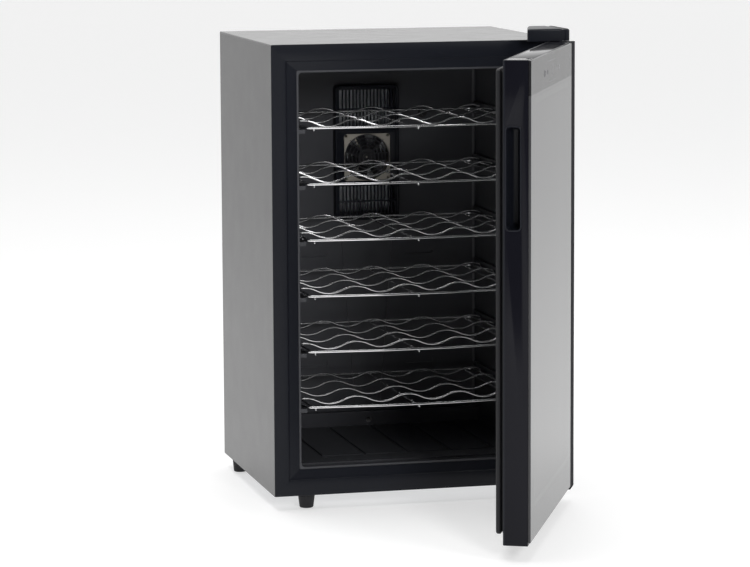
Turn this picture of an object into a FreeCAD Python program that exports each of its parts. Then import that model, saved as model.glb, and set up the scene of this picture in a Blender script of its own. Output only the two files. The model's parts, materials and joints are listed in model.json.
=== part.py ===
import FreeCAD, Part
import math
import os

from FreeCAD import Vector

# Free-standing wine cooler with a glass door and six chrome wire shelves.
# Millimetres. X runs to the hinge side, Y to the back, Z up.
# The origin is on the floor, under the middle of the cabinet's front face.
# Shapes are drawn with Z = 0 at the cabinet's underside and the door closed,
# then lifted onto the feet; the door is turned to its half-open rest angle.

# Cabinet
cabinet_width = 460.0
cabinet_height = 696.0
cabinet_depth = 388.0
foot_height = 22.0
sheet = 1.0
fold_radius = 2.0
side_wall = 40.0
top_wall = 40.0
rim_height = 41.0
base_flange = 12.0
rear_screw_edge = 20.0
rear_screw_end = 28.0
rear_screw_count = 4
rear_screw_spacing = 140.0

# Front frame
frame_lip = 2.0
frame_depth = 12.0
outer_band_side = 22.5
outer_band_top = 25.0
outer_band_bottom = 24.6
band_step = 2.5
band_bevel = 2.0
band_rounding = 1.2

# Liner
liner_wall = 3.0
liner_front = 4.0
rear_insulation = 50.0
liner_corner = 6.0
floor_rise = 3.0
floor_front = 20.0
ledge_step_height = 23.0
ledge_step_depth = 16.0
groove_width = 5.0
groove_depth = 2.0
groove_pitch = 69.5
groove_count = 5
groove_front = 70.0
duct_width = 4.0
duct_depth = 2.0
duct_top_spread = 44.0
duct_low_spread = 20.0
duct_knee_height = 90.0
wall_recess_height = 8.0
wall_recess_width = 48.0
wall_recess_depth = 1.8
wall_recess_spacing = 180.0
wall_recess_levels = (149.0, 331.0)

# Shelves
shelf_count = 6
lowest_shelf = 135.5
space_over_top_shelf = 85.5
shelf_side_gap = 8.5
shelf_back_gap = 26.0
shelf_front_corner = 23.5
rail_corner = 14.0
rail_bow_angle = 8.0
rail_radius = 2.0
wave_radius = 1.5
wave_pitch = 83.0
wave_phase = -6.0
wave_height = 10.0
wave_trough = -1.0
wave_first = 45.0
wave_step = 75.0
wave_count = 4
cross_radius = 1.5
cross_from_side = 15.0
shelf_gap = 0.4
runner_width = 12.0
runner_thickness = 6.0
runner_front = 14.0
keeper_gap = 3.0
keeper_width = 5.0
keeper_thickness = 4.0
keeper_front = 60.0

# Interior fan and cooling unit
fan_cover_side = 13.5
fan_cover_height = 221.0
fan_cover_from_top = 45.0
fan_cover_depth = 16.0
fan_cover_wall = 2.5
fan_cover_corner = 7.0
fan_cover_bar = 2.4
fan_cover_bar_proud = 1.0
fan_cover_margin = 4.0
fan_opening_lip = 1.5
fan_opening_corner = 5.0
slot_width = 3.0
slot_pitch = 6.2
slots_each_side = 7
fan_from_cover_top = 118.0
inner_fan_size = 80.0
inner_fan_depth = 15.0
recess_side = 8.0
recess_margin = 8.0
recess_depth = 34.0
cold_fin_depth = 22.0
heatsink_base = 4.0
block_size = 40.0
peltier_thickness = 4.0
hot_sink_size = 110.0
hot_fin_depth = 22.0
rear_fan_size = 92.0
rear_fan_depth = 15.0
blade_tip_gap = 1.5
blade_count = 7
blade_pitch_angle = 40.0
fan_bore_wall = 2.5
fan_axle_radius = 1.5
guard_wire = 1.8
guard_thickness = 1.4
fin_thickness = 1.4
cold_fin_pitch = 7.0
hot_fin_pitch = 6.0
rear_cover_width = 260.0
rear_cover_bottom = 120.0
rear_cover_over_fan = 130.0
rear_cover_depth = 62.0
rear_cover_wall = 2.0
rear_cover_corner = 8.0
outlet_size = 100.0
inlet_width = 180.0
inlet_height = 80.0
inlet_rise = 30.0
louvre_gap = 6.0
louvre_pitch = 10.0

# Power supply, cord and drain
board_width = 130.0
board_bottom = 150.0
board_height = 150.0
board_shift = 5.0
board_standoff = 8.0
board_thickness = 1.6
board_post_inset = 8.0
gland_x = -95.0
gland_y = 14.0
gland_radius = 8.0
gland_bore = 3.6
gland_length = 16.0
gland_collar = 3.0
drain_radius = 5.0
drain_wall = 1.2
drain_height = 56.0
tray_width = 140.0
tray_depth = 44.0
tray_low = 14.0
tray_height = 26.0
tray_wall = 2.0

# Lamp and sensor inside
lamp_width = 160.0
lamp_front = 26.0
lamp_depth = 18.0
lamp_height = 10.0
lens_thickness = 1.5
sensor_x = 96.0
sensor_from_top = 93.0
sensor_radius = 4.0
sensor_length = 16.0

# Door
door_open_angle = 64.7
door_thickness = 40.0
gasket_depth = 12.5
door_gap = 0.5
door_clearance = 1.0
glass_thickness = 4.0
glass_edge = 0.5
bottom_strip = 4.5
hinge_strip = 38.0
stile_width = 40.0
hinge_stile_width = 40.0
top_rail_height = 56.0
bottom_rail_height = 50.0
trim_thickness = 3.0
pane_gap = 12.0
gasket_inset = 13.0
gasket_width = 14.0
gasket_foot = 3.0
gasket_neck = 3.0
magnet_thickness = 3.0
window_lip = 9.0
spacer_width = 8.0

# Touch panel behind the top of the glass
board_half = 92.0
board_from_top = 9.0
touch_height = 38.0
touch_standoff = 3.0
digits_half_width = 22.0
digits_half_height = 11.0
key_radius = 5.0
key_places = (-75.0, -48.0, 48.0, 75.0)

# Grip in the free edge of the door
grip_from_top = 92.0
grip_height = 150.0
grip_width = 24.0
grip_depth = 30.0
grip_wall = 2.0
grip_from_back = 2.5
grip_rim = 0.8
grip_corner = 7.0

# Hinge
hinge_from_side = 9.0
hinge_from_front = 17.0
pin_radius = 4.0
pin_clearance = 0.05
bush_wall = 2.5
bush_length = 14.0
bracket_thickness = 3.0
bracket_width = 34.0
bracket_margin = 6.0
bracket_back = 38.0
bracket_screw_gap = 16.0
bracket_pair_from_back = 21.0
bracket_single_from_back = 9.0
pin_head_radius = 4.8
pin_head_height = 2.5
bracket_corner = 5.0
bracket_screw_radius = 2.5
hinge_cover_width = 70.5
hinge_cover_from_side = 0.5
hinge_cover_from_front = 8.0
hinge_cover_behind = 6.0
hinge_cover_taper = 27.0
hinge_cover_height = 19.0
hinge_cover_wall = 1.5
hinge_cover_corner = 5.0
hinge_cover_edge = 3.5

# Feet
front_foot_from_side = 54.0
front_foot_y = 20.0
front_foot_top_radius = 13.5
front_foot_bottom_radius = 11.0
rear_foot_from_side = 15.0
rear_foot_from_back = 53.0
rear_foot_top_radius = 12.5
rear_foot_bottom_radius = 10.5
stud_radius = 4.0
stud_length = 24.0
stud_clearance = 0.05
nut_across = 13.0
nut_height = 8.0
foot_rounding = 3.0

# Worked out from the sizes above
half_width = cabinet_width / 2.0
open_half = half_width - side_wall
open_top = cabinet_height - top_wall
inner_half = open_half - liner_wall
inner_top = open_top - liner_wall
inner_bottom = rim_height + liner_wall
floor_level = inner_bottom + floor_rise
liner_back = cabinet_depth - rear_insulation
ledge_step_front = liner_back - ledge_step_depth
top_shelf = inner_top - space_over_top_shelf
shelf_pitch = (top_shelf - lowest_shelf) / (shelf_count - 1)
shelf_half_width = inner_half - shelf_side_gap
shelf_back = liner_back - shelf_back_gap
cross_spacing = shelf_half_width - cross_from_side
fan_cover_width = inner_fan_size + 2 * fan_cover_side
fan_cover_top = inner_top - fan_cover_from_top
fan_cover_bottom = fan_cover_top - fan_cover_height
fan_height = fan_cover_top - fan_from_cover_top
recess_width = inner_fan_size + 2 * recess_side
recess_top = fan_cover_top - recess_margin
recess_bottom = fan_cover_bottom + recess_margin
recess_back = liner_back + recess_depth
cover_front = liner_back - fan_cover_depth
door_face = -(door_gap + gasket_depth + door_thickness)
door_back = -(door_gap + gasket_depth)
door_bottom = door_clearance
door_top = cabinet_height - door_clearance
hinge_x = half_width - hinge_from_side
hinge_y = door_face + hinge_from_front
glass_back = door_face + glass_thickness
trim_front = door_back - trim_thickness
pane_front = glass_back + pane_gap
window_left = -half_width + stile_width
window_right = half_width - hinge_stile_width
window_bottom = door_bottom + bottom_rail_height
window_top = door_top - top_rail_height
board_high = door_top - board_from_top
board_low = board_high - touch_height
board_middle = (board_low + board_high) / 2.0
grip_bottom = door_top - grip_from_top - grip_height
bush_outer = pin_radius + pin_clearance + bush_wall
inner_fan_y = cover_front + fan_cover_wall + guard_thickness + 0.2
cold_fin_front = recess_back - heatsink_base - cold_fin_depth
hot_base_front = cabinet_depth + peltier_thickness
hot_fin_back = hot_base_front + heatsink_base + hot_fin_depth
rear_fan_y = hot_fin_back + 1.0
rear_cover_back = cabinet_depth + rear_cover_depth
rear_cover_top = fan_height + rear_cover_over_fan
sensor_height = inner_top - sensor_from_top
hinge_cover_right = half_width - hinge_cover_from_side
hinge_cover_left = hinge_cover_right - hinge_cover_width
hinge_cover_front = door_face + hinge_cover_from_front
hinge_cover_back = bracket_back + hinge_cover_behind
front_foot_x = half_width - front_foot_from_side
rear_foot_x = half_width - rear_foot_from_side
rear_foot_y = cabinet_depth - rear_foot_from_back


def box(x0, x1, y0, y1, z0, z1):
    """A box between two corners."""
    return Part.makeBox(x1 - x0, y1 - y0, z1 - z0, Vector(x0, y0, z0))


def cylinder(radius, start, direction, length):
    return Part.makeCylinder(radius, length, Vector(*start), Vector(*direction))


def ring(radius, bore, start, direction, length):
    return cylinder(radius, start, direction, length).cut(cylinder(bore, start, direction, length))


def rounded_box(x0, x1, y0, y1, z0, z1, radius, axis):
    """A box with the four edges that run along one axis rounded."""
    solid = box(x0, x1, y0, y1, z0, z1)
    along = {"x": Vector(1, 0, 0), "y": Vector(0, 1, 0), "z": Vector(0, 0, 1)}[axis]
    edges = [e for e in solid.Edges if abs(e.tangentAt(e.FirstParameter).dot(along)) > 0.99]
    return solid.makeFillet(radius, edges)


def joined(shapes):
    """One solid from shapes that overlap or touch."""
    return shapes[0].fuse(shapes[1:]).removeSplitter() if len(shapes) > 1 else shapes[0]


def together(shapes):
    return Part.makeCompound(shapes)


def rectangle(x0, x1, z0, z1, y):
    corners = [Vector(x0, y, z0), Vector(x1, y, z0), Vector(x1, y, z1), Vector(x0, y, z1)]
    return Part.makePolygon(corners + corners[:1])


def save(name, shape, door=False):
    """Write one node, lifted onto the feet and, on the door, turned to the rest angle."""
    placed = shape.copy()
    if door:
        placed.rotate(Vector(hinge_x, hinge_y, 0), Vector(0, 0, 1), door_open_angle)
    placed.translate(Vector(0, 0, foot_height))
    placed.exportStep(os.path.join("parts", name + ".step"))


# Cabinet shell

def outer_wrap():
    """Folded steel sheet: two sides and the top, with rounded top folds."""
    outer = box(-half_width, half_width, frame_lip, cabinet_depth, 0, cabinet_height)
    inner = box(-half_width + sheet, half_width - sheet, frame_lip, cabinet_depth,
                0, cabinet_height - sheet)
    return fold_top(outer, fold_radius).cut(fold_top(inner, fold_radius - sheet))


def fold_top(solid, radius):
    top = solid.BoundBox.ZMax
    edges = []
    for edge in solid.Edges:
        middle = edge.CenterOfMass
        runs_back = abs(edge.tangentAt(edge.FirstParameter).y) > 0.99
        if runs_back and abs(middle.z - top) < 0.01:
            edges.append(edge)
    return solid.makeFillet(radius, edges)


def base_pan():
    x = half_width - sheet
    plate = box(-x, x, frame_depth, cabinet_depth - sheet, 0, sheet)
    left = box(-x, -x + sheet, frame_depth, cabinet_depth - sheet, 0, base_flange)
    right = box(x - sheet, x, frame_depth, cabinet_depth - sheet, 0, base_flange)
    holes = [cylinder(stud_radius + 1, (s * front_foot_x, front_foot_y, -1), (0, 0, 1), 5)
             for s in (-1, 1)]
    return joined([plate, left, right]).cut(holes)


def rear_panel():
    x = half_width - sheet
    top = cabinet_height - sheet
    plate = fold_top(box(-x, x, cabinet_depth - sheet, cabinet_depth, 0, top), fold_radius - sheet)
    window = block_size / 2 + 4
    opening = box(-window, window, cabinet_depth - 2, cabinet_depth + 1,
                  fan_height - window, fan_height + window)
    drain = cylinder(drain_radius, (0, cabinet_depth - 2, drain_height), (0, 1, 0), 4)
    return plate.cut([opening, drain])


def front_frame():
    """Moulded frame: a proud outer band, a bevelled step and a recessed inner band."""
    x = half_width
    z = cabinet_height
    lip = fold_top(box(-x, x, 0, frame_lip, 0, z), fold_radius)
    body = fold_top(box(-x + sheet, x - sheet, frame_lip, frame_depth, 0, z - sheet),
                    fold_radius - sheet)
    step_x = x - outer_band_side
    step_low = outer_band_bottom
    step_high = z - outer_band_top
    wide = rectangle(-step_x, step_x, step_low, step_high, 0)
    narrow = rectangle(-step_x + band_bevel, step_x - band_bevel, step_low + band_bevel,
                       step_high - band_bevel, band_step)
    pocket = Part.makeLoft([wide, narrow], True, True)
    opening = box(-open_half, open_half, -1, frame_depth + 1, rim_height, open_top)
    frame = joined([lip, body]).cut(pocket)
    frame = frame.cut(opening)
    rim = [e for e in frame.Edges if is_opening_edge(e)]
    return frame.makeFillet(band_rounding, rim)


def is_opening_edge(edge):
    """The four edges where the recessed band turns into the opening."""
    box_ = edge.BoundBox
    on_step = abs(box_.YMin - band_step) < 0.01 and abs(box_.YMax - band_step) < 0.01
    inside = abs(box_.Center.x) < open_half + 0.1 and rim_height - 0.1 < box_.Center.z < open_top + 0.1
    return on_step and inside


def lamp_pocket():
    """Space that the lamp takes up in the liner's ceiling and in the foam above it."""
    half = lamp_width / 2
    return box(-half, half, lamp_front, lamp_front + lamp_depth, inner_top - 1,
               inner_top + lamp_height)


def liner_outside():
    shell = box(-open_half, open_half, liner_front, liner_back + liner_wall, rim_height, open_top)
    back = box(-recess_width / 2 - liner_wall, recess_width / 2 + liner_wall, liner_back,
               recess_back + liner_wall, recess_bottom - liner_wall, recess_top + liner_wall)
    return joined([shell, back])


def floor_grooves():
    """Grooves that run back along the floor from one cross groove."""
    reach = (groove_count - 1) / 2.0
    half = groove_width / 2.0
    low = floor_level - groove_depth
    cuts = [box(-reach * groove_pitch - half, reach * groove_pitch + half, groove_front - half,
                groove_front + half, low, floor_level + 1)]
    for i in range(groove_count):
        x = (i - reach) * groove_pitch
        cuts.append(box(x - half, x + half, groove_front, ledge_step_front, low, floor_level + 1))
    return cuts


def duct_grooves():
    """Two shallow grooves below the fan cover that lead the air down, drawing together."""
    cuts = []
    for side in (-1, 1):
        top = Vector(side * duct_top_spread, 0, fan_cover_bottom + 8)
        knee = Vector(side * duct_low_spread, 0, duct_knee_height)
        low = Vector(side * duct_low_spread, 0, rim_height + ledge_step_height + 6)
        width = Vector(side * duct_width, 0, 0)
        outline = Part.makePolygon([top, knee, low, low + width, knee + width, top + width, top])
        cut = Part.Face(outline).extrude(Vector(0, 2 * duct_depth, 0))
        cut.translate(Vector(0, liner_back - duct_depth, 0))
        cuts.append(cut)
    return cuts


def wall_recesses():
    """Short rounded recesses pressed into the back wall beside the duct."""
    reach = wall_recess_width / 2
    rise = wall_recess_height / 2
    cuts = []
    for z in wall_recess_levels:
        for side in (-1, 1):
            x = side * wall_recess_spacing / 2
            cuts.append(rounded_box(x - reach, x + reach, liner_back - 1,
                                    liner_back + wall_recess_depth, z - rise, z + rise,
                                    rise * 0.95, "y"))
    return cuts


def shelf_runners(side):
    """Strips on one side wall: a runner under each shelf's rod and a keeper above it."""
    solids = []
    wall = side * inner_half
    for level in shelf_levels():
        top = level - rail_radius - shelf_gap
        low = level + rail_radius + keeper_gap
        x0, x1 = sorted((wall, side * (inner_half - runner_width)))
        solids.append(box(x0, x1, runner_front, liner_back - liner_corner,
                          top - runner_thickness, top))
        x0, x1 = sorted((wall, side * (inner_half - keeper_width)))
        solids.append(box(x0, x1, keeper_front, liner_back - liner_corner,
                          low, low + keeper_thickness))
    return together(solids)


def shelf_levels():
    return [lowest_shelf + i * shelf_pitch for i in range(shelf_count)]


def inner_liner():
    cavity = box(-inner_half, inner_half, liner_front - 20, liner_back, inner_bottom, inner_top)
    edges = [e for e in cavity.Edges if e.BoundBox.YMin > liner_front - 19
             or abs(e.tangentAt(e.FirstParameter).y) > 0.99]
    cavity = cavity.makeFillet(liner_corner, edges)
    recess = box(-recess_width / 2, recess_width / 2, liner_back - 1, recess_back,
                 recess_bottom, recess_top)
    window = block_size / 2 + 1
    channel = box(-window, window, recess_back - 1, recess_back + liner_wall + 1,
                  fan_height - window, fan_height + window)
    liner = liner_outside().cut([cavity, recess, channel])
    floor = box(-inner_half - 1, inner_half + 1, floor_front, liner_back + 1,
                rim_height + 0.5, floor_level)
    step = box(-inner_half - 1, inner_half + 1, ledge_step_front, liner_back + 1,
               rim_height + 0.5, floor_level + ledge_step_height)
    liner = joined([liner, floor, step]).cut(lamp_pocket())
    drain = cylinder(drain_radius, (0, ledge_step_front - 1, drain_height), (0, 1, 0), 40)
    return liner.cut(floor_grooves() + duct_grooves() + wall_recesses() + [drain])


def insulation_foam():
    """Foamed insulation that fills the space between the shell and the liner."""
    x = half_width - sheet
    block = box(-x, x, frame_depth, cabinet_depth - sheet, sheet, cabinet_height - sheet)
    block = fold_top(block, fold_radius - sheet)
    pockets = []
    for side in (-1, 1):
        foot = (side * front_foot_x, front_foot_y, 0)
        pockets.append(cylinder(nut_across / 2 + 2, foot, (0, 0, 1), stud_length + 6))
        wall = side * (x + 1)
        tip = side * (x - sheet)
        x0, x1 = sorted((wall, tip))
        pockets.append(box(x0, x1, 0, cabinet_depth, 0, base_flange))
    window = block_size / 2 + 1
    pockets.append(box(-window, window, liner_back, cabinet_depth, fan_height - window,
                       fan_height + window))
    pockets.append(cylinder(drain_radius, (0, liner_back - 20, drain_height), (0, 1, 0), 90))
    return block.cut([liner_outside(), lamp_pocket()] + pockets)


# Interior fan cover and the thermoelectric unit behind it

def fan_cover():
    """Cover on the back wall: slotted grilles above and below, a square fan opening between."""
    half = fan_cover_width / 2
    wall = fan_cover_wall
    shell = rounded_box(-half, half, cover_front, liner_back, fan_cover_bottom, fan_cover_top,
                        fan_cover_corner, "y")
    inside = rounded_box(-half + wall, half - wall, cover_front + wall, liner_back + 1,
                         fan_cover_bottom + wall, fan_cover_top - wall, fan_cover_corner - wall, "y")
    reach = inner_fan_size / 2 + fan_cover_margin
    thick = fan_cover_bar / 2
    bars = [box(-half + 1, half - 1, cover_front - fan_cover_bar_proud, cover_front + 1,
                z - thick, z + thick) for z in (fan_height - reach, fan_height + reach)]
    cover = joined([shell.cut(inside)] + bars)
    side = inner_fan_size / 2 - fan_opening_lip
    opening = rounded_box(-side, side, cover_front - 2, cover_front + wall + 1,
                          fan_height - side, fan_height + side, fan_opening_corner, "y")
    slots = []
    for low, high in grille_rows(fan_height - reach, fan_height + reach):
        for i in range(-slots_each_side, slots_each_side + 1):
            x = i * slot_pitch
            slots.append(box(x - slot_width / 2, x + slot_width / 2, cover_front - 2,
                             cover_front + wall + 1, low, high))
    return cover.cut([opening] + slots)


def grille_rows(fan_low, fan_high):
    """Bottom and top of each row of slots: two rows above the fan and two below it."""
    bridge = slot_width / 2
    margin = fan_cover_margin
    rows = []
    for low, high in ((fan_cover_bottom + margin, fan_low - margin),
                      (fan_high + margin, fan_cover_top - margin)):
        middle = (low + high) / 2
        rows += [(low, middle - bridge), (middle + bridge, high)]
    return rows


def wire_guard(outer, y, z):
    """A flat fan guard: rings joined by four spokes."""
    start = (0, y, z)
    rings = [ring(r, r - guard_wire, start, (0, 1, 0), guard_thickness)
             for r in (outer, outer * 0.76, outer * 0.52, outer * 0.28)]
    spoke = box(-outer + 1, outer - 1, y, y + guard_thickness, z - guard_wire / 2, z + guard_wire / 2)
    spokes = []
    for angle in (45, 135):
        turned = spoke.copy()
        turned.rotate(Vector(*start), Vector(0, 1, 0), angle)
        spokes.append(turned)
    return joined(rings + spokes)


def fan_housing(size, depth, y, z):
    """Square fan frame with a round bore, corner holes and a motor seat on three struts."""
    frame = rounded_box(-size / 2, size / 2, y, y + depth, z - size / 2, z + size / 2, 4, "y")
    bore = cylinder(size / 2 - fan_bore_wall, (0, y - 1, z), (0, 1, 0), depth + 2)
    inset = size / 2 - 5
    holes = [cylinder(2.2, (sx * inset, y - 1, z + sz * inset), (0, 1, 0), depth + 2)
             for sx in (-1, 1) for sz in (-1, 1)]
    frame = frame.cut([bore] + holes)
    seat = cylinder(size * 0.2, (0, y + depth - 2, z), (0, 1, 0), 2)
    struts = []
    for angle in (0, 120, 240):
        strut = box(0, size / 2 - 2, y + depth - 2, y + depth, z - 1.5, z + 1.5)
        strut.rotate(Vector(0, y, z), Vector(0, 1, 0), angle)
        struts.append(strut)
    axle = cylinder(fan_axle_radius, (0, y + 3, z), (0, 1, 0), depth - 4)
    return joined([frame, seat, axle] + struts)


def fan_rotor(size, depth, y, z):
    """Hub on the axle with its pitched blades."""
    hub = cylinder(size * 0.19, (0, y + 1, z), (0, 1, 0), depth - 4)
    blades = []
    for i in range(blade_count):
        blade = box(0, size, -0.7, 0.7, -size * 0.11, size * 0.11)
        blade.rotate(Vector(0, 0, 0), Vector(1, 0, 0), blade_pitch_angle)
        blade.translate(Vector(0, y + depth / 2 - 1, z))
        blade.rotate(Vector(0, y, z), Vector(0, 1, 0), i * 360.0 / blade_count)
        blades.append(blade)
    sweep = cylinder(size / 2 - fan_bore_wall - blade_tip_gap, (0, y + 1.5, z), (0, 1, 0), depth - 5)
    wheel = joined([hub] + [blade.common(sweep) for blade in blades])
    bore = cylinder(fan_axle_radius + pin_clearance, (0, y - 1, z), (0, 1, 0), depth + 4)
    return wheel.cut(bore)


def finned_sink(half, low, high, base_y, fin_y, pitch):
    """Heatsink with upright fins; the base plate lies between base_y and its thickness."""
    sign = 1 if fin_y > base_y else -1
    y0, y1 = sorted((base_y, base_y + sign * heatsink_base))
    solids = [box(-half, half, y0, y1, low, high)]
    count = int(half // pitch)
    f0, f1 = sorted((base_y + sign * heatsink_base / 2, fin_y))
    for i in range(-count, count + 1):
        solids.append(box(i * pitch - fin_thickness / 2, i * pitch + fin_thickness / 2,
                          f0, f1, low, high))
    return joined(solids)


def spacer_block():
    half = block_size / 2
    return box(-half, half, recess_back, cabinet_depth, fan_height - half, fan_height + half)


def peltier_module():
    half = block_size / 2
    return box(-half, half, cabinet_depth, hot_base_front, fan_height - half, fan_height + half)


def rear_cover():
    """Cover over the hot side, with a window for each grille in its back."""
    half = rear_cover_width / 2
    wall = rear_cover_wall
    shell = rounded_box(-half, half, cabinet_depth, rear_cover_back, rear_cover_bottom,
                        rear_cover_top, rear_cover_corner, "y")
    inside = rounded_box(-half + wall, half - wall, cabinet_depth - 1, rear_cover_back - wall,
                         rear_cover_bottom + wall, rear_cover_top - wall,
                         rear_cover_corner - wall, "y")
    windows = [box(-reach, reach, rear_cover_back - 5, rear_cover_back + 1, low, high)
               for reach, low, high in grille_windows()]
    notch = box(gland_x - gland_radius, gland_x + gland_radius, cabinet_depth - 1,
                cabinet_depth + gland_y + gland_radius, rear_cover_bottom - 1,
                rear_cover_bottom + wall + 1)
    return shell.cut([inside, notch] + windows)


def grille_windows():
    """Half width, bottom and top of the outlet behind the fan and of the inlet below it."""
    return [(outlet_size / 2, fan_height - outlet_size / 2, fan_height + outlet_size / 2),
            (inlet_width / 2, rear_cover_bottom + inlet_rise,
             rear_cover_bottom + inlet_rise + inlet_height)]


def rear_grilles():
    """Louvred plates that fill the windows of the rear cover."""
    plates = []
    for reach, low, high in grille_windows():
        plate = box(-reach, reach, rear_cover_back - rear_cover_wall, rear_cover_back, low, high)
        count = int((high - low - louvre_gap) // louvre_pitch)
        first = (low + high) / 2 - (count - 1) * louvre_pitch / 2
        slots = [box(-reach + 6, reach - 6, rear_cover_back - 5, rear_cover_back + 1,
                     first + i * louvre_pitch - louvre_gap / 2,
                     first + i * louvre_pitch + louvre_gap / 2) for i in range(count)]
        plates.append(plate.cut(slots))
    return together(plates)


def cord_gland():
    """Strain-relief bush for the mains cord; its square neck fills the rear cover's notch."""
    x, y, z = gland_x, cabinet_depth + gland_y, rear_cover_bottom
    neck = box(x - gland_radius, x + gland_radius, cabinet_depth, y + gland_radius,
               z, z + rear_cover_wall)
    collar = cylinder(gland_radius + 3, (x, y, z - gland_collar), (0, 0, 1), gland_collar)
    inner = cylinder(gland_radius + 2, (x, y, z + rear_cover_wall), (0, 0, 1),
                     gland_length - gland_collar - rear_cover_wall)
    bore = cylinder(gland_bore, (x, y, z - gland_collar - 1), (0, 0, 1), gland_length + 2)
    return joined([neck, collar, inner]).cut(bore)


def power_board():
    """Supply board on four posts, with its transformer, capacitors, coil and relay."""
    back = cabinet_depth + board_standoff
    face = back + board_thickness
    left = board_shift - board_width / 2
    right = board_shift + board_width / 2
    top = board_bottom + board_height
    board = box(left, right, back, face, board_bottom, top)
    posts = [cylinder(3, (x, cabinet_depth, z), (0, 1, 0), board_standoff)
             for x in (left + board_post_inset, right - board_post_inset)
             for z in (board_bottom + board_post_inset, top - board_post_inset)]
    transformer = box(left + 40, left + 85, face, face + 31, board_bottom + 50, board_bottom + 95)
    capacitors = [cylinder(9, (left + 30 + 25 * i, face, top - 30), (0, 1, 0), 26)
                  for i in range(3)]
    coil = ring(14, 6, (right - 25, face, board_bottom + 30), (0, 1, 0), 14)
    relay = box(left + 15, left + 35, face, face + 16, board_bottom + 15, board_bottom + 40)
    return joined([board] + posts + [transformer] + capacitors + [coil, relay])


def drip_tray():
    """Open tray on the back that catches what drains from the liner."""
    half = tray_width / 2
    wall = tray_wall
    back = cabinet_depth + tray_depth
    outer = box(-half, half, cabinet_depth, back, tray_low, tray_low + tray_height)
    inner = box(-half + wall, half - wall, cabinet_depth + wall, back - wall,
                tray_low + wall, tray_low + tray_height + 1)
    return outer.cut(inner)


def drain_tube():
    """Straight tube from the liner's back step to above the drip tray."""
    start = ledge_step_front + 4
    length = cabinet_depth + 16 - start
    return ring(drain_radius, drain_radius - drain_wall, (0, start, drain_height), (0, 1, 0), length)


def light_bar():
    """White lamp housing let into the ceiling, just inside the front."""
    half = lamp_width / 2
    return box(-half, half, lamp_front, lamp_front + lamp_depth, inner_top + lens_thickness,
               inner_top + lamp_height)


def light_lens():
    """Frosted lens that closes the lamp housing, flush with the ceiling."""
    half = lamp_width / 2
    return box(-half, half, lamp_front, lamp_front + lamp_depth, inner_top,
               inner_top + lens_thickness)


def temperature_sensor():
    tip = cylinder(sensor_radius, (sensor_x, liner_back - sensor_length, sensor_height),
                   (0, 1, 0), sensor_length)
    flange = cylinder(sensor_radius * 2, (sensor_x, liner_back - 2.5, sensor_height), (0, 1, 0), 2.5)
    return joined([tip, flange])


# Feet and hinges

def tapered_foot(x, y, top_radius, bottom_radius):
    cone = Part.makeCone(bottom_radius, top_radius, foot_height, Vector(x, y, -foot_height))
    rim = [e for e in cone.Edges if abs(e.BoundBox.ZMax + foot_height) < 0.01]
    return cone.makeFillet(foot_rounding, rim)


def leveller(side):
    """Front foot with its threaded stud, shown fully screwed in."""
    x = side * front_foot_x
    pad = tapered_foot(x, front_foot_y, front_foot_top_radius, front_foot_bottom_radius)
    stud = cylinder(stud_radius, (x, front_foot_y, -4), (0, 0, 1), stud_length + 4)
    return joined([pad, stud])


def leveller_nuts():
    nuts = []
    for side in (-1, 1):
        x = side * front_foot_x
        corner = nut_across / 2 / math.cos(math.radians(30))
        points = [Vector(x + corner * math.cos(math.radians(60 * i)),
                         front_foot_y + corner * math.sin(math.radians(60 * i)), sheet)
                  for i in range(7)]
        nut = Part.Face(Part.makePolygon(points)).extrude(Vector(0, 0, nut_height))
        bore = cylinder(stud_radius + stud_clearance, (x, front_foot_y, 0), (0, 0, 1), 20)
        nuts.append(nut.cut(bore))
    return together(nuts)


def rear_feet():
    return together([tapered_foot(s * rear_foot_x, rear_foot_y, rear_foot_top_radius,
                                  rear_foot_bottom_radius) for s in (-1, 1)])


def bracket_plate(z):
    """Flat hinge plate that reaches forward over the door's edge to the pin."""
    right = hinge_x + bracket_margin
    plate = rounded_box(right - bracket_width, right, hinge_y - bracket_margin, bracket_back,
                        z, z + bracket_thickness, bracket_corner, "z")
    pin_hole = cylinder(pin_radius, (hinge_x, hinge_y, z - 1), (0, 0, 1), bracket_thickness + 2)
    holes = [cylinder(bracket_screw_radius, (x, y, z - 1), (0, 0, 1), bracket_thickness + 2)
             for x, y in bracket_screws()]
    return plate.cut([pin_hole] + holes)


def bracket_screws():
    """Places of the screws: two side by side and one behind them."""
    middle = hinge_x + bracket_margin - bracket_width / 2 - 1
    pair = bracket_back - bracket_pair_from_back
    return [(middle - bracket_screw_gap / 2, pair), (middle + bracket_screw_gap / 2, pair),
            (middle, bracket_back - bracket_single_from_back)]


def top_hinge_pin():
    z = cabinet_height
    shank = cylinder(pin_radius, (hinge_x, hinge_y, door_top - bush_length), (0, 0, 1),
                     z + bracket_thickness - door_top + bush_length)
    head = cylinder(pin_head_radius, (hinge_x, hinge_y, z + bracket_thickness), (0, 0, 1),
                    pin_head_height)
    return joined([shank, head])


def bottom_hinge_pin():
    low = -bracket_thickness
    shank = cylinder(pin_radius, (hinge_x, hinge_y, low), (0, 0, 1),
                     door_bottom + bush_length - low)
    head = cylinder(pin_head_radius, (hinge_x, hinge_y, low - pin_head_height), (0, 0, 1),
                    pin_head_height)
    return joined([shank, head])


def cover_block(inset, z0, z1):
    """Block of the hinge cover's plan, which narrows towards the back on its left."""
    left, right = hinge_cover_left + inset, hinge_cover_right - inset
    front, back = hinge_cover_front + inset, hinge_cover_back - inset
    points = [Vector(left, front, z0), Vector(right, front, z0), Vector(right, back, z0),
              Vector(left + hinge_cover_taper, back, z0)]
    solid = Part.Face(Part.makePolygon(points + points[:1])).extrude(Vector(0, 0, z1 - z0))
    upright = [e for e in solid.Edges if e.BoundBox.ZLength > z1 - z0 - 0.01]
    return solid.makeFillet(hinge_cover_corner - inset, upright)


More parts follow.
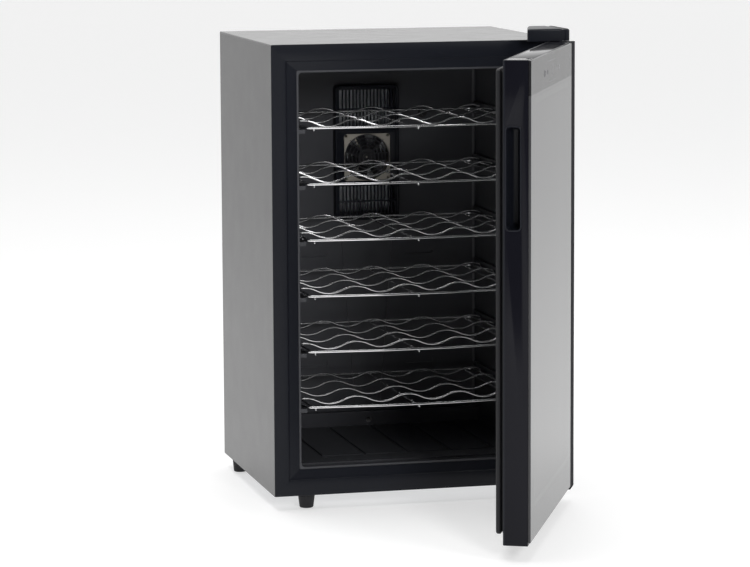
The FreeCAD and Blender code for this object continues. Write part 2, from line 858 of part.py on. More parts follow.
def hinge_cover():
    """Rounded cover over the top hinge, open underneath."""
    low = cabinet_height
    high = cabinet_height + hinge_cover_height
    outer = cover_block(0, low, high)
    rim = [e for e in outer.Edges if e.BoundBox.ZMin > high - 0.01]
    outer = outer.makeFillet(hinge_cover_edge, rim)
    wall = hinge_cover_wall
    return outer.cut(cover_block(wall, low - 1, high - wall - 0.5))


def hex_screw(x, y, z, up, grip, size):
    """Hexagon-head screw; the head's seat is at z and the shank runs the other way."""
    points = [Vector(x + size * math.cos(math.radians(60 * i)),
                     y + size * math.sin(math.radians(60 * i)), z) for i in range(7)]
    head = Part.Face(Part.makePolygon(points)).extrude(Vector(0, 0, up * 3.0))
    shank = cylinder(size / 2, (x, y, z), (0, 0, -up), grip)
    return joined([head, shank])


def hinge_screws():
    top = [hex_screw(x, y, cabinet_height + bracket_thickness, 1, bracket_thickness, 5)
           for x, y in bracket_screws()]
    low = [hex_screw(x, y, -bracket_thickness, -1, bracket_thickness, 5)
           for x, y in bracket_screws()]
    return together(top + low)


def rear_screws():
    """Pan-head screws along the rear panel's edge and the rear cover's flange."""
    edge = half_width - rear_screw_edge
    step = (cabinet_height - 2 * rear_screw_end) / (rear_screw_count - 1)
    heights = [rear_screw_end + i * step for i in range(rear_screw_count)]
    places = [(x, z) for x in (-edge, edge) for z in heights]
    places += [(s * rear_screw_spacing / 2, heights[-1]) for s in (-1, 1)]
    return together([cylinder(3.5, (x, cabinet_depth, z), (0, 1, 0), 2) for x, z in places])


# Door, drawn closed

def door_bar(x0, x1, z0, z1):
    return box(x0, x1, glass_back, trim_front, z0, z1)


def free_stile():
    """Profile along the free edge, pocketed for the grip cup."""
    bar = door_bar(-half_width, window_left, door_bottom, door_top)
    return bar.cut(grip_block(0))


def hinge_stile():
    """Profile along the hinge edge, with the strip that shows beside the glass."""
    bar = door_bar(window_right, half_width, door_bottom, door_top)
    strip_left = half_width - hinge_strip
    strip = rounded_box(strip_left, half_width, door_face, glass_back + 4, door_bottom, door_top,
                        1.0, "z")
    strip = joined([strip, box(strip_left, half_width, glass_back - 2, glass_back + 4,
                               door_bottom, door_top)])
    low = cylinder(bush_outer, (hinge_x, hinge_y, door_bottom), (0, 0, 1), bush_length + 1)
    high = cylinder(bush_outer, (hinge_x, hinge_y, door_top), (0, 0, -1), bush_length + 1)
    return joined([bar, strip]).cut([low, high])


def top_rail():
    bar = door_bar(window_left, window_right, window_top, door_top)
    pocket = box(-board_half - 5, board_half + 5, glass_back - 1, glass_back + 9,
                 board_low - 4, board_high + 4)
    return bar.cut(pocket)


def bottom_rail():
    return door_bar(window_left, window_right, door_bottom, window_bottom)


def door_glass():
    """Outer pane: full mirror glass from the free edge to the hinge strip."""
    return box(-half_width + glass_edge, half_width - hinge_strip, door_face, glass_back,
               door_bottom + bottom_strip, door_top - glass_edge)


def inner_glass():
    return box(window_left, window_right, pane_front, pane_front + glass_thickness,
               window_bottom, window_top)


def pane_spacer():
    """Hollow aluminium frame that keeps the two panes apart."""
    outer = box(window_left, window_right, glass_back, pane_front, window_bottom, window_top)
    inner = box(window_left + spacer_width, window_right - spacer_width, glass_back - 1,
                pane_front + 1, window_bottom + spacer_width, window_top - spacer_width)
    return outer.cut(inner)


def door_trim():
    """Inner trim frame: a flange over the profiles and a lip that holds the inner pane."""
    flange = box(-half_width, half_width, trim_front, door_back, door_bottom, door_top)
    lip = box(window_left, window_right, pane_front + glass_thickness, trim_front,
              window_bottom, window_top)
    hole = box(window_left + window_lip, window_right - window_lip, pane_front, door_back + 1,
               window_bottom + window_lip, window_top - window_lip)
    bore = cylinder(bush_outer, (hinge_x, hinge_y, 0), (0, 0, 1), cabinet_height)
    return joined([flange, lip]).cut([hole, grip_block(0), bore])


def grip_block(inset):
    """Outer shape of the grip cup, or the finger space inside it when inset by its wall."""
    back = door_back - grip_from_back - inset
    front = door_back - grip_from_back - grip_width + inset
    return rounded_box(-half_width - 5, -half_width + grip_depth - inset, front, back,
                       grip_bottom + inset, grip_bottom + grip_height - inset, grip_corner - inset, "x")


def grip_cup():
    """Moulded finger recess with a raised rim, let into the free edge."""
    cup = grip_block(0).common(box(-half_width - grip_rim, 0, door_face, 0, 0, cabinet_height))
    return cup.cut(grip_block(grip_wall))


def gasket_ring(inset, width, y0, y1):
    x = half_width - inset
    z0 = door_bottom + inset
    z1 = door_top - inset
    outer = rounded_box(-x, x, y0, y1, z0, z1, 6, "y")
    inner = box(-x + width, x - width, y0 - 1, y1 + 1, z0 + width, z1 - width)
    return outer.cut(inner)


def door_gasket():
    """Magnetic seal: a foot on the trim and a bulb with a channel for the magnets."""
    neck_start = door_back + gasket_foot
    bulb_start = neck_start + gasket_neck
    foot = gasket_ring(gasket_inset, gasket_width, door_back, neck_start)
    neck = gasket_ring(gasket_inset + 3, gasket_width - 6, neck_start, bulb_start)
    bulb = gasket_ring(gasket_inset, gasket_width, bulb_start, -door_gap)
    seal = joined([foot, neck, bulb])
    return seal.cut(gasket_magnets())


def gasket_magnets():
    y0 = door_back + gasket_depth - magnet_thickness - 1.5
    y1 = y0 + magnet_thickness
    inset = gasket_inset + 3
    width = gasket_width - 6
    x = half_width - inset
    z0 = door_bottom + inset
    z1 = door_top - inset
    gap = 2
    strips = [box(-x + width + gap, x - width - gap, y0, y1, z0, z0 + width),
              box(-x + width + gap, x - width - gap, y0, y1, z1 - width, z1),
              box(-x, -x + width, y0, y1, z0, z1),
              box(x - width, x, y0, y1, z0, z1)]
    return together(strips)


def touch_board():
    """Circuit board of the touch panel with its chips, behind the top of the glass."""
    front = glass_back + touch_standoff
    back = front + board_thickness
    board = box(-board_half, board_half, front, back, board_low, board_high)
    chips = [box(x, x + 12, back, back + 2, board_middle - 6, board_middle + 6) for x in (-60, 30)]
    return joined([board] + chips)


def display_module():
    """Two-digit display and key light guides between the board and the glass."""
    digits = box(-digits_half_width, digits_half_width, glass_back, glass_back + touch_standoff,
                 board_middle - digits_half_height, board_middle + digits_half_height)
    keys = [cylinder(key_radius, (x, glass_back, board_middle), (0, 1, 0), touch_standoff)
            for x in key_places]
    return together([digits] + keys)


def hinge_bushes():
    bore = pin_radius + pin_clearance
    low = ring(bore + bush_wall, bore, (hinge_x, hinge_y, door_bottom), (0, 0, 1), bush_length + 1)
    high = ring(bore + bush_wall, bore, (hinge_x, hinge_y, door_top), (0, 0, -1), bush_length + 1)
    return together([low, high])


# Shelves

def bowed_front(level):
    """Half outline points of the front rail: corner start, corner end and bow centre."""
    phi = math.radians(rail_bow_angle)
    w, r, ys = shelf_half_width, rail_corner, shelf_front_corner
    mid = math.radians(180 + (90 - rail_bow_angle) / 2)
    centre = Vector(-w + r, ys, level)
    corner_mid = centre + Vector(r * math.cos(mid), r * math.sin(mid), 0)
    corner_end = centre + Vector(-r * math.sin(phi), -r * math.cos(phi), 0)
    sag = -corner_end.x * math.tan(phi / 2)
    return corner_mid, corner_end, Vector(0, corner_end.y - sag, level)


def mirrored(point):
    return Vector(-point.x, point.y, point.z)


def front_rail(level):
    """Front rail: bowed forward, with a rounded corner at each end."""
    corner_mid, corner_end, centre = bowed_front(level)
    start = Vector(-shelf_half_width, shelf_front_corner, level)
    edges = [Part.Arc(start, corner_mid, corner_end).toShape(),
             Part.Arc(corner_end, centre, mirrored(corner_end)).toShape(),
             Part.Arc(mirrored(corner_end), mirrored(corner_mid), mirrored(start)).toShape()]
    return swept(edges, rail_radius, Vector(0, 1, 0))


def rear_rail(level):
    w, r = shelf_half_width, rail_corner
    y = shelf_back
    k = r * (1 - math.cos(math.radians(45)))
    start = Vector(-w, y - r, level)
    edges = [Part.Arc(start, Vector(-w + k, y - k, level), Vector(-w + r, y, level)).toShape(),
             Part.LineSegment(Vector(-w + r, y, level), Vector(w - r, y, level)).toShape(),
             Part.Arc(Vector(w - r, y, level), Vector(w - k, y - k, level),
                      Vector(w, y - r, level)).toShape()]
    return swept(edges, rail_radius, Vector(0, 1, 0))


def swept(edges, radius, direction):
    """A round wire along a path of tangent edges."""
    path = Part.Wire(edges)
    start = path.OrderedVertexes[0].Point
    section = Part.Wire([Part.makeCircle(radius, start, direction)])
    return path.makePipeShell([section], True, False)


def wave_wire(y, level):
    """Wavy bottle wire from side rod to side rod, made of equal arcs."""
    quarter = wave_pitch / 4
    rise = wave_height / 2
    bend = (quarter ** 2 + rise ** 2) / (2 * rise)
    middle = level + wave_trough + rise
    edges = []
    count = int(shelf_half_width // (2 * quarter)) + 2
    for i in range(-count, count + 1):
        centre = wave_phase + 2 * quarter * i
        up = 1 if i % 2 == 0 else -1
        x0 = max(centre - quarter, -shelf_half_width)
        x1 = min(centre + quarter, shelf_half_width)
        if x1 - x0 < 0.01:
            continue
        points = []
        for x in (x0, (x0 + x1) / 2, x1):
            lift = math.sqrt(bend ** 2 - (x - centre) ** 2) - (bend - rise)
            points.append(Vector(x, y, middle + up * lift))
        edges.append(Part.Arc(*points).toShape())
    return swept(edges, wave_radius, edges[0].tangentAt(edges[0].FirstParameter))


def shelf(level):
    """Chrome wire shelf: frame rods, wavy bottle wires and cross wires under them."""
    wires = [front_rail(level), rear_rail(level)]
    for side in (-1, 1):
        wires.append(cylinder(rail_radius, (side * shelf_half_width, shelf_front_corner, level),
                              (0, 1, 0), shelf_back - rail_corner - shelf_front_corner))
    for i in range(wave_count):
        wires.append(wave_wire(wave_first + i * wave_step, level))
    under = level - rail_radius - cross_radius
    front_y = bowed_front(level)[1].y
    for x in (-cross_spacing, 0, cross_spacing):
        first = bowed_front(level)[2].y if x == 0 else front_y
        wires.append(cylinder(cross_radius, (x, first - 1, under), (0, 1, 0),
                              shelf_back - first + 2))
    return together(wires)


def main():
    os.makedirs("parts", exist_ok=True)
    save("outer_wrap", outer_wrap())
    save("base_pan", base_pan())
    save("rear_panel", rear_panel())
    save("front_frame", front_frame())
    save("insulation_foam", insulation_foam())
    save("inner_liner", inner_liner())
    save("left_shelf_runners", shelf_runners(-1))
    save("right_shelf_runners", shelf_runners(1))
    save("fan_cover", fan_cover())
    save("fan_guard", wire_guard(inner_fan_size / 2 - 2, cover_front + fan_cover_wall, fan_height))
    save("inner_fan_housing", fan_housing(inner_fan_size, inner_fan_depth, inner_fan_y, fan_height))
    save("inner_fan_rotor", fan_rotor(inner_fan_size, inner_fan_depth, inner_fan_y, fan_height))
    save("cold_heatsink", finned_sink(recess_width / 2 - 2, recess_bottom + 3, recess_top - 3,
                                      recess_back, cold_fin_front, cold_fin_pitch))
    save("spacer_block", spacer_block())
    save("peltier_module", peltier_module())
    half = hot_sink_size / 2
    save("hot_heatsink", finned_sink(half, fan_height - half, fan_height + half, hot_base_front,
                                     hot_fin_back, hot_fin_pitch))
    save("rear_fan_housing", fan_housing(rear_fan_size, rear_fan_depth, rear_fan_y, fan_height))
    save("rear_fan_rotor", fan_rotor(rear_fan_size, rear_fan_depth, rear_fan_y, fan_height))
    save("rear_fan_guard", wire_guard(rear_fan_size / 2 - 2, rear_fan_y + rear_fan_depth, fan_height))
    save("rear_cover", rear_cover())
    save("rear_grilles", rear_grilles())
    save("power_board", power_board())
    save("cord_gland", cord_gland())
    save("drip_tray", drip_tray())
    save("drain_tube", drain_tube())
    save("light_bar", light_bar())
    save("light_lens", light_lens())
    save("temperature_sensor", temperature_sensor())
    save("rear_feet", rear_feet())
    save("leveller_left", leveller(-1))
    save("leveller_right", leveller(1))
    save("leveller_nuts", leveller_nuts())
    save("top_hinge_bracket", bracket_plate(cabinet_height))
    save("bottom_hinge_bracket", bracket_plate(-bracket_thickness))
    save("top_hinge_pin", top_hinge_pin())
    save("bottom_hinge_pin", bottom_hinge_pin())
    save("hinge_cover", hinge_cover())
    save("hinge_screws", hinge_screws())
    save("rear_screws", rear_screws())
    save("door_glass", door_glass(), door=True)
    save("inner_glass", inner_glass(), door=True)
    save("pane_spacer", pane_spacer(), door=True)
    save("free_stile", free_stile(), door=True)
    save("hinge_stile", hinge_stile(), door=True)
    save("top_rail", top_rail(), door=True)
    save("bottom_rail", bottom_rail(), door=True)
    save("door_trim", door_trim(), door=True)
    save("door_gasket", door_gasket(), door=True)
    save("gasket_magnets", gasket_magnets(), door=True)
    save("grip_cup", grip_cup(), door=True)
    save("touch_board", touch_board(), door=True)
    save("display_module", display_module(), door=True)
    save("hinge_bushes", hinge_bushes(), door=True)
    for i, level in enumerate(shelf_levels()):
        save("shelf_%d" % (i + 1), shelf(level))


main()
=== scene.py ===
"""Free-standing wine cooler with a glass door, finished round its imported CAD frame."""
import json
import math

import bmesh
import bpy
from bpy.props import FloatProperty, FloatVectorProperty, IntProperty, PointerProperty
from mathutils import Matrix, Vector


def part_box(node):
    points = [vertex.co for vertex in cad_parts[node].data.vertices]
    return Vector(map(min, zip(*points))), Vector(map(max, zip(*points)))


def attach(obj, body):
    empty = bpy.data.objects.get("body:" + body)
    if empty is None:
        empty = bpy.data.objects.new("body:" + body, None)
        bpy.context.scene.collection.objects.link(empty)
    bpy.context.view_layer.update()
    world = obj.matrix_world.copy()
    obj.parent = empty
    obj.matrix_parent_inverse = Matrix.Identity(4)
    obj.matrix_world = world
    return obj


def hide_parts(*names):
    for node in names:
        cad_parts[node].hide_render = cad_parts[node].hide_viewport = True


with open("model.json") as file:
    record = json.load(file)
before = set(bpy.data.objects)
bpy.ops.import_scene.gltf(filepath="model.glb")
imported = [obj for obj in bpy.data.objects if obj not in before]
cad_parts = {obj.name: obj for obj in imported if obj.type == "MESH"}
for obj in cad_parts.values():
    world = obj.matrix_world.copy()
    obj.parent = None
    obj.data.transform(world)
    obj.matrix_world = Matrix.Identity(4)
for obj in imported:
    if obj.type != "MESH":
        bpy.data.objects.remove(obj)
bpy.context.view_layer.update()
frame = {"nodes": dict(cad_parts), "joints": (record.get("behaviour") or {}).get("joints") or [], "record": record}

bl_info = {
    "name": "Wine Cooler Finish",
    "version": (1, 0, 0),
    "blender": (4, 5, 0),
    "location": "View3D > Sidebar > Cooler",
    "description": "Gives a wine cooler its wires, mouldings, glass and finishes",
    "category": "Object",
}

NODES = frame["nodes"]
BODIES = frame["record"]["behaviour"]["bodies"]
MM = 0.001
Y_AXIS = Vector((0, 1, 0))
Z_AXIS = Vector((0, 0, 1))


# Settings that a user may change

def colour(name, text, default):
    return FloatVectorProperty(name=name, description=text, subtype="COLOR", size=3,
                               min=0.0, max=1.0, default=default)


def length(name, text, default):
    return FloatProperty(name=name, description=text, unit="LENGTH", min=0.0, default=default)


class CoolerColours(bpy.types.PropertyGroup):
    steel: colour("Painted steel", "Satin paint on the sides and top", (0.020, 0.020, 0.021))
    moulding: colour("Mouldings", "Front frame, hinge cover and rear cover", (0.008, 0.009, 0.013))
    liner: colour("Liner", "Vacuum-formed inner liner", (0.045, 0.046, 0.052))
    profile: colour("Door profile", "Stiles and rails of the door", (0.006, 0.006, 0.009))
    chrome: colour("Chrome", "Plated wire of the shelves", (0.83, 0.83, 0.84))
    glass: colour("Door glass", "Tint of the outer pane", (0.06, 0.06, 0.063))
    rubber: colour("Rubber", "Feet and door seal", (0.016, 0.016, 0.018))


class CoolerSizes(bpy.types.PropertyGroup):
    wire_sides: IntProperty(name="Wire sides", description="Sides of a round wire",
                            min=6, max=32, default=12)
    wave_pitch: length("Wave pitch", "Distance from one wire crest to the next", 0.083)
    wave_shift: length("Wave shift", "How far left of the middle a crest stands", 0.006)
    wave_height: length("Wave height", "Trough to crest of a bottle wire", 0.010)
    wave_step: length("Wave spacing", "Front-to-back distance between bottle wires", 0.075)
    wave_first: length("First wave", "First bottle wire, behind the cabinet's front", 0.045)


class CoolerStage(bpy.types.PropertyGroup):
    camera_place: FloatVectorProperty(name="Camera", description="Where the camera stands",
                                      subtype="TRANSLATION", size=3,
                                      default=(-1.2821, -4.8120, 1.0137))
    camera_heading: FloatProperty(name="Heading", description="Turn of the view to the right",
                                  subtype="ANGLE", default=math.radians(14.142))
    camera_dip: FloatProperty(name="Dip", description="Tilt of the view below level",
                              subtype="ANGLE", default=math.radians(7.638))
    camera_roll: FloatProperty(name="Roll", description="Lean of the view",
                               subtype="ANGLE", default=math.radians(-0.291))
    lens: FloatProperty(name="Lens", description="Focal length in millimetres", default=156.2)
    floor: colour("Floor", "Pale floor", (0.55, 0.55, 0.55))
    floor_glow: FloatProperty(name="Floor glow", description="Light given off by the backdrop",
                              min=0.0, default=0.50)


# Mesh work, in millimetres

PLANES = {
    "x": Matrix(((0, 0, 1, 0), (1, 0, 0, 0), (0, 1, 0, 0), (0, 0, 0, 1))),
    "y": Matrix(((1, 0, 0, 0), (0, 0, 1, 0), (0, 1, 0, 0), (0, 0, 0, 1))),
    "z": Matrix.Identity(4),
}


def corners(node):
    """Lowest and highest corners of a node at rest, in millimetres."""
    low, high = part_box(node)
    return Vector(low) / MM, Vector(high) / MM


def put_box(bm, low, high, rounding=0.0, segments=2):
    """A box between two corners, with its edges rounded; returns its vertices."""
    part = bmesh.new()
    made = bmesh.ops.create_cube(part, size=1.0)["verts"]
    low, high = Vector(low), Vector(high)
    bmesh.ops.scale(part, vec=high - low, verts=made)
    bmesh.ops.translate(part, vec=(low + high) / 2, verts=made)
    if rounding:
        round_edges(part, part.edges[:], rounding, segments)
    return merge_in(bm, part)


def edges_of(verts):
    return list({edge for vert in verts for edge in vert.link_edges})


def round_edges(bm, edges, radius, segments=3):
    return bmesh.ops.bevel(bm, geom=edges, offset=radius, offset_type="OFFSET", segments=segments,
                           profile=0.5, affect="EDGES", clamp_overlap=True, material=-1)


def grown(rect, by):
    """A rectangle (left, low, right, high) with every side moved outwards."""
    left, low, right, high = rect
    return (left - by, low - by, right + by, high + by)


def outline(bm, axis, rect, corner, depth, taper=0.0):
    """The edges of a rounded rectangle square to an axis; a taper slants its left side."""
    left, low, right, high = rect
    made = bmesh.ops.create_grid(bm, x_segments=1, y_segments=1, size=0.5)["verts"]
    bmesh.ops.scale(bm, vec=(right - left, high - low, 1), verts=made)
    bmesh.ops.translate(bm, vec=((left + right) / 2, (low + high) / 2, depth), verts=made)
    behind = [v for v in made if v.co.x < (left + right) / 2 and v.co.y > (low + high) / 2]
    bmesh.ops.translate(bm, vec=(taper, 0, 0), verts=behind)
    rounded = bmesh.ops.bevel(bm, geom=made, offset=corner, offset_type="OFFSET", segments=5,
                              profile=0.5, affect="VERTICES", material=-1)["verts"]
    bmesh.ops.transform(bm, matrix=PLANES[axis], verts=rounded)
    face = rounded[0].link_faces[0]
    ring = list(face.edges)
    bmesh.ops.delete(bm, geom=[face], context="FACES_ONLY")
    return ring


def skin(axis, sections, closed=False):
    """A shell over rounded rectangles (rect, corner, depth), closed on itself or capped."""
    bm = bmesh.new()
    rings = [outline(bm, axis, *section) for section in sections]
    for first, second in zip(rings, rings[1:] + (rings[:1] if closed else [])):
        bmesh.ops.bridge_loops(bm, edges=first + second)
    if not closed:
        for ring in (rings[0], rings[-1]):
            bmesh.ops.contextual_create(bm, geom=ring)
    return bm


def turned(profile, sides=48):
    """A shape turned about Z from a chain of (radius, height) points."""
    bm = bmesh.new()
    verts = [bm.verts.new((radius, 0, height)) for radius, height in profile]
    chain = [bm.edges.new(pair) for pair in zip(verts, verts[1:])]
    bmesh.ops.spin(bm, geom=verts + chain, cent=(0, 0, 0), axis=Z_AXIS, angle=2 * math.pi,
                   steps=sides, use_merge=True)
    bmesh.ops.remove_doubles(bm, verts=bm.verts, dist=0.002)
    return bm


def wire_ring(bm, centre, axis, radius, wire, sides=8, steps=56):
    """A round wire bent to a full ring about an axis."""
    part = bmesh.new()
    out = Vector(axis).orthogonal().normalized()
    start = Vector(centre) + out * radius
    loop = circle_edges(part, start, Vector(axis).cross(out), wire, sides)
    bmesh.ops.spin(part, geom=loop, cent=centre, axis=axis, angle=2 * math.pi, steps=steps,
                   use_merge=True)
    bmesh.ops.remove_doubles(part, verts=part.verts, dist=0.002)
    merge_in(bm, part)


def circle_edges(bm, centre, direction, radius, sides):
    """A ring of edges round a point, square to a direction."""
    turn = Z_AXIS.rotation_difference(Vector(direction).normalized()).to_matrix().to_4x4()
    made = bmesh.ops.create_circle(bm, cap_ends=False, radius=radius, segments=sides,
                                   matrix=Matrix.Translation(centre) @ turn)
    return edges_of(made["verts"])


def run_on(bm, edges, step):
    """Extrudes a loop of edges along a vector and returns the new loop."""
    made = bmesh.ops.extrude_edge_only(bm, edges=edges)["geom"]
    verts = {g for g in made if isinstance(g, bmesh.types.BMVert)}
    bmesh.ops.translate(bm, vec=step, verts=list(verts))
    return [g for g in made if isinstance(g, bmesh.types.BMEdge) and verts.issuperset(g.verts)]


def turn_on(bm, edges, centre, axis, angle, steps):
    """Spins a loop of edges about an axis and returns the last loop."""
    made = bmesh.ops.spin(bm, geom=edges, cent=centre, axis=axis, angle=angle, steps=steps,
                          use_duplicate=False)["geom_last"]
    return [g for g in made if isinstance(g, bmesh.types.BMEdge)]


def add_wire(bm, start, heading, radius, moves, sides):
    """A round wire; each move is a straight length or (bend radius, angle, axis)."""
    part = bmesh.new()
    here, ahead = Vector(start), Vector(heading).normalized()
    first = loop = circle_edges(part, here, ahead, radius, sides)
    for move in moves:
        if not isinstance(move, tuple):
            here = here + ahead * move
            loop = run_on(part, loop, ahead * move)
            continue
        bend, angle, axis = move
        side = axis.cross(ahead) * math.copysign(bend, angle)
        centre = here + side
        steps = max(2, int(abs(angle) / math.radians(8)) + 1)
        loop = turn_on(part, loop, centre, axis, angle, steps)
        turn = Matrix.Rotation(angle, 3, axis)
        here = centre - turn @ side
        ahead = turn @ ahead
    if (here - Vector(start)).length > radius:
        round_end(part, loop, ahead, radius)
        round_end(part, first, -Vector(heading).normalized(), radius)
    bmesh.ops.remove_doubles(part, verts=part.verts, dist=0.02)
    merge_in(bm, part)


def round_end(bm, loop, ahead, radius):
    """Closes the end of a wire with a small dome."""
    loop = run_on(bm, loop, ahead * radius * 0.5)
    verts = list({v for e in loop for v in e.verts})
    centre = sum((v.co for v in verts), Vector()) / len(verts)
    bmesh.ops.scale(bm, vec=(0.6, 0.6, 0.6), space=Matrix.Translation(-centre), verts=verts)
    bmesh.ops.contextual_create(bm, geom=loop)


def put_bead(bm, place, size):
    """A blob of weld."""
    part = bmesh.new()
    bmesh.ops.create_icosphere(part, subdivisions=2, radius=1.0)
    bmesh.ops.scale(part, vec=size, verts=part.verts)
    bmesh.ops.translate(part, vec=place, verts=part.verts)
    merge_in(bm, part)


def merge_in(target, source):
    """Adds one bmesh to another and frees it."""
    before = len(target.verts)
    mesh = bpy.data.meshes.new("part")
    source.to_mesh(mesh)
    source.free()
    target.from_mesh(mesh)
    bpy.data.meshes.remove(mesh)
    target.verts.ensure_lookup_table()
    return target.verts[before:]


def finish_piece(name, bm, body, slot, material, replaces=(), place=None, sharp=35, recalc=True):
    """Turns a bmesh in millimetres into a piece on a body, smooth but for its sharp edges."""
    bmesh.ops.remove_doubles(bm, verts=bm.verts, dist=0.002)
    if recalc:
        bmesh.ops.recalc_face_normals(bm, faces=bm.faces)
    bmesh.ops.scale(bm, vec=(MM, MM, MM), verts=bm.verts)
    if place is not None:
        bmesh.ops.transform(bm, matrix=place, verts=bm.verts)
    mesh = bpy.data.meshes.new(name)
    bm.to_mesh(mesh)
    bm.free()
    mesh.polygons.foreach_set("use_smooth", [True] * len(mesh.polygons))
    mesh.set_sharp_from_angle(angle=math.radians(sharp))
    mesh.materials.append(material)
    piece = bpy.data.objects.new(name, mesh)
    bpy.context.scene.collection.objects.link(piece)
    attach(piece, body)
    if replaces:
        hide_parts(*replaces)
    return piece


def refined(node, finish_name, radius, segments=2, corner=30):
    """A merged copy of a CAD node with its hard edges rounded, which stands for the node."""
    source = NODES[node]
    bm = bmesh.new()
    bm.from_mesh(source.data)
    bmesh.ops.scale(bm, vec=(1 / MM, 1 / MM, 1 / MM), verts=bm.verts)
    bmesh.ops.remove_doubles(bm, verts=bm.verts, dist=0.002)
    bmesh.ops.dissolve_limit(bm, angle_limit=math.radians(0.5), use_dissolve_boundaries=False,
                             verts=bm.verts, edges=bm.edges, delimit={"NORMAL"})
    hard = [e for e in bm.edges if len(e.link_faces) == 2
            and e.calc_face_angle(0.0) > math.radians(corner)]
    round_edges(bm, hard, radius, segments)
    slot = next(s["material_slot"] for s in frame["record"]["subparts"] if s["node"] == node)
    body = next(b for b, nodes in BODIES.items() if node in nodes)
    return finish_piece(node + "_finished", bm, body, slot, material(finish_name), (node,),
                        recalc=False)


# The door is drawn closed and then turned to its rest angle

def door_joint():
    return next(j for j in frame["joints"] if j["name"] == "door_hinge")


def door_turn():
    """From the closed door to the door at rest."""
    joint = door_joint()
    angle = -math.radians(joint["range_deg"][0])
    pivot = Vector(joint["pos_m"])
    return (Matrix.Translation(pivot) @ Matrix.Rotation(angle, 4, Vector(joint["axis"]))
            @ Matrix.Translation(-pivot))


def closed_corners(node):
    """Corners of a door node with the door closed, in millimetres."""
    back = door_turn().inverted()
    points = [back @ v.co / MM for v in NODES[node].data.vertices]
    low = Vector([min(p[i] for p in points) for i in range(3)])
    high = Vector([max(p[i] for p in points) for i in range(3)])
    return low, high


def door_piece(name, bm, slot, finish_name, replaces=(), **more):
    return finish_piece(name, bm, "door", slot, material(finish_name), replaces,
                        place=door_turn(), **more)


# Shader groups

def group_tree(name, inputs, outputs):
    """An empty shader group with named sockets: (socket type, name, default)."""
    tree = bpy.data.node_groups.new(name, "ShaderNodeTree")
    for kind, label, value in inputs:
        made = tree.interface.new_socket(name=label, in_out="INPUT", socket_type=kind)
        made.default_value = value
    for kind, label in outputs:
        tree.interface.new_socket(name=label, in_out="OUTPUT", socket_type=kind)
    return tree, tree.nodes.new("NodeGroupInput"), tree.nodes.new("NodeGroupOutput")


def add(tree, kind, settings=(), links=()):
    """A node with its settings made and its inputs linked or set."""
    made = tree.nodes.new(kind)
    for key, value in dict(settings).items():
        setattr(made, key, value)
    for key, value in dict(links).items():
        if isinstance(value, bpy.types.NodeSocket):
            tree.links.new(value, made.inputs[key])
        else:
            made.inputs[key].default_value = value
    return made


def calc(tree, operation, first, second=0.0):
    return add(tree, "ShaderNodeMath", {"operation": operation}, {0: first, 1: second}).outputs[0]


def object_place(tree):
    return add(tree, "ShaderNodeTexCoord").outputs["Object"]


def get_group(name, build):
    return bpy.data.node_groups.get(name) or build(name)


def build_grain(name):
    """Moulded or sprayed grain: a fine height, finer and coarser noise mixed."""
    tree, given, result = group_tree(name, [("NodeSocketFloat", "Scale", 900.0),
                                            ("NodeSocketFloat", "Coarse", 0.3)],
                                     [("NodeSocketFloat", "Height")])
    place = object_place(tree)
    fine = add(tree, "ShaderNodeTexNoise", {}, {"Vector": place, "Scale": given.outputs["Scale"],
                                                "Detail": 3.0, "Roughness": 0.6})
    wide = calc(tree, "MULTIPLY", given.outputs["Scale"], 0.18)
    coarse = add(tree, "ShaderNodeTexNoise", {}, {"Vector": place, "Scale": wide, "Detail": 2.0})
    mixed = add(tree, "ShaderNodeMix", {}, {0: given.outputs["Coarse"], 2: fine.outputs["Fac"],
                                            3: coarse.outputs["Fac"]})
    tree.links.new(mixed.outputs[0], result.inputs["Height"])
    return tree


def build_drift(name):
    """Slow drift of a colour and of a roughness over a surface, with fine speckle."""
    tree, given, result = group_tree(
        name, [("NodeSocketColor", "Colour", (0.5, 0.5, 0.5, 1)),
               ("NodeSocketFloat", "Amount", 0.15), ("NodeSocketFloat", "Roughness", 0.4),
               ("NodeSocketFloat", "Spread", 0.06), ("NodeSocketFloat", "Scale", 6.0)],
        [("NodeSocketColor", "Colour"), ("NodeSocketFloat", "Roughness")])
    place = object_place(tree)
    slow = add(tree, "ShaderNodeTexNoise", {}, {"Vector": place, "Scale": given.outputs["Scale"],
                                                "Detail": 5.0, "Roughness": 0.55})
    centred = calc(tree, "SUBTRACT", slow.outputs["Fac"], 0.5)
    swing = calc(tree, "MULTIPLY", centred, given.outputs["Amount"])
    factor = calc(tree, "ADD", swing, 1.0)
    tinted = add(tree, "ShaderNodeVectorMath", {"operation": "SCALE"},
                 {0: given.outputs["Colour"], "Scale": factor})
    tree.links.new(tinted.outputs[0], result.inputs["Colour"])
    smear = add(tree, "ShaderNodeTexNoise", {}, {"Vector": place, "Scale": 23.0, "Detail": 6.0,
                                                 "Roughness": 0.65})
    shift = calc(tree, "MULTIPLY", calc(tree, "SUBTRACT", smear.outputs["Fac"], 0.5),
                 given.outputs["Spread"])
    tree.links.new(calc(tree, "ADD", given.outputs["Roughness"], shift),
                   result.inputs["Roughness"])
    return tree


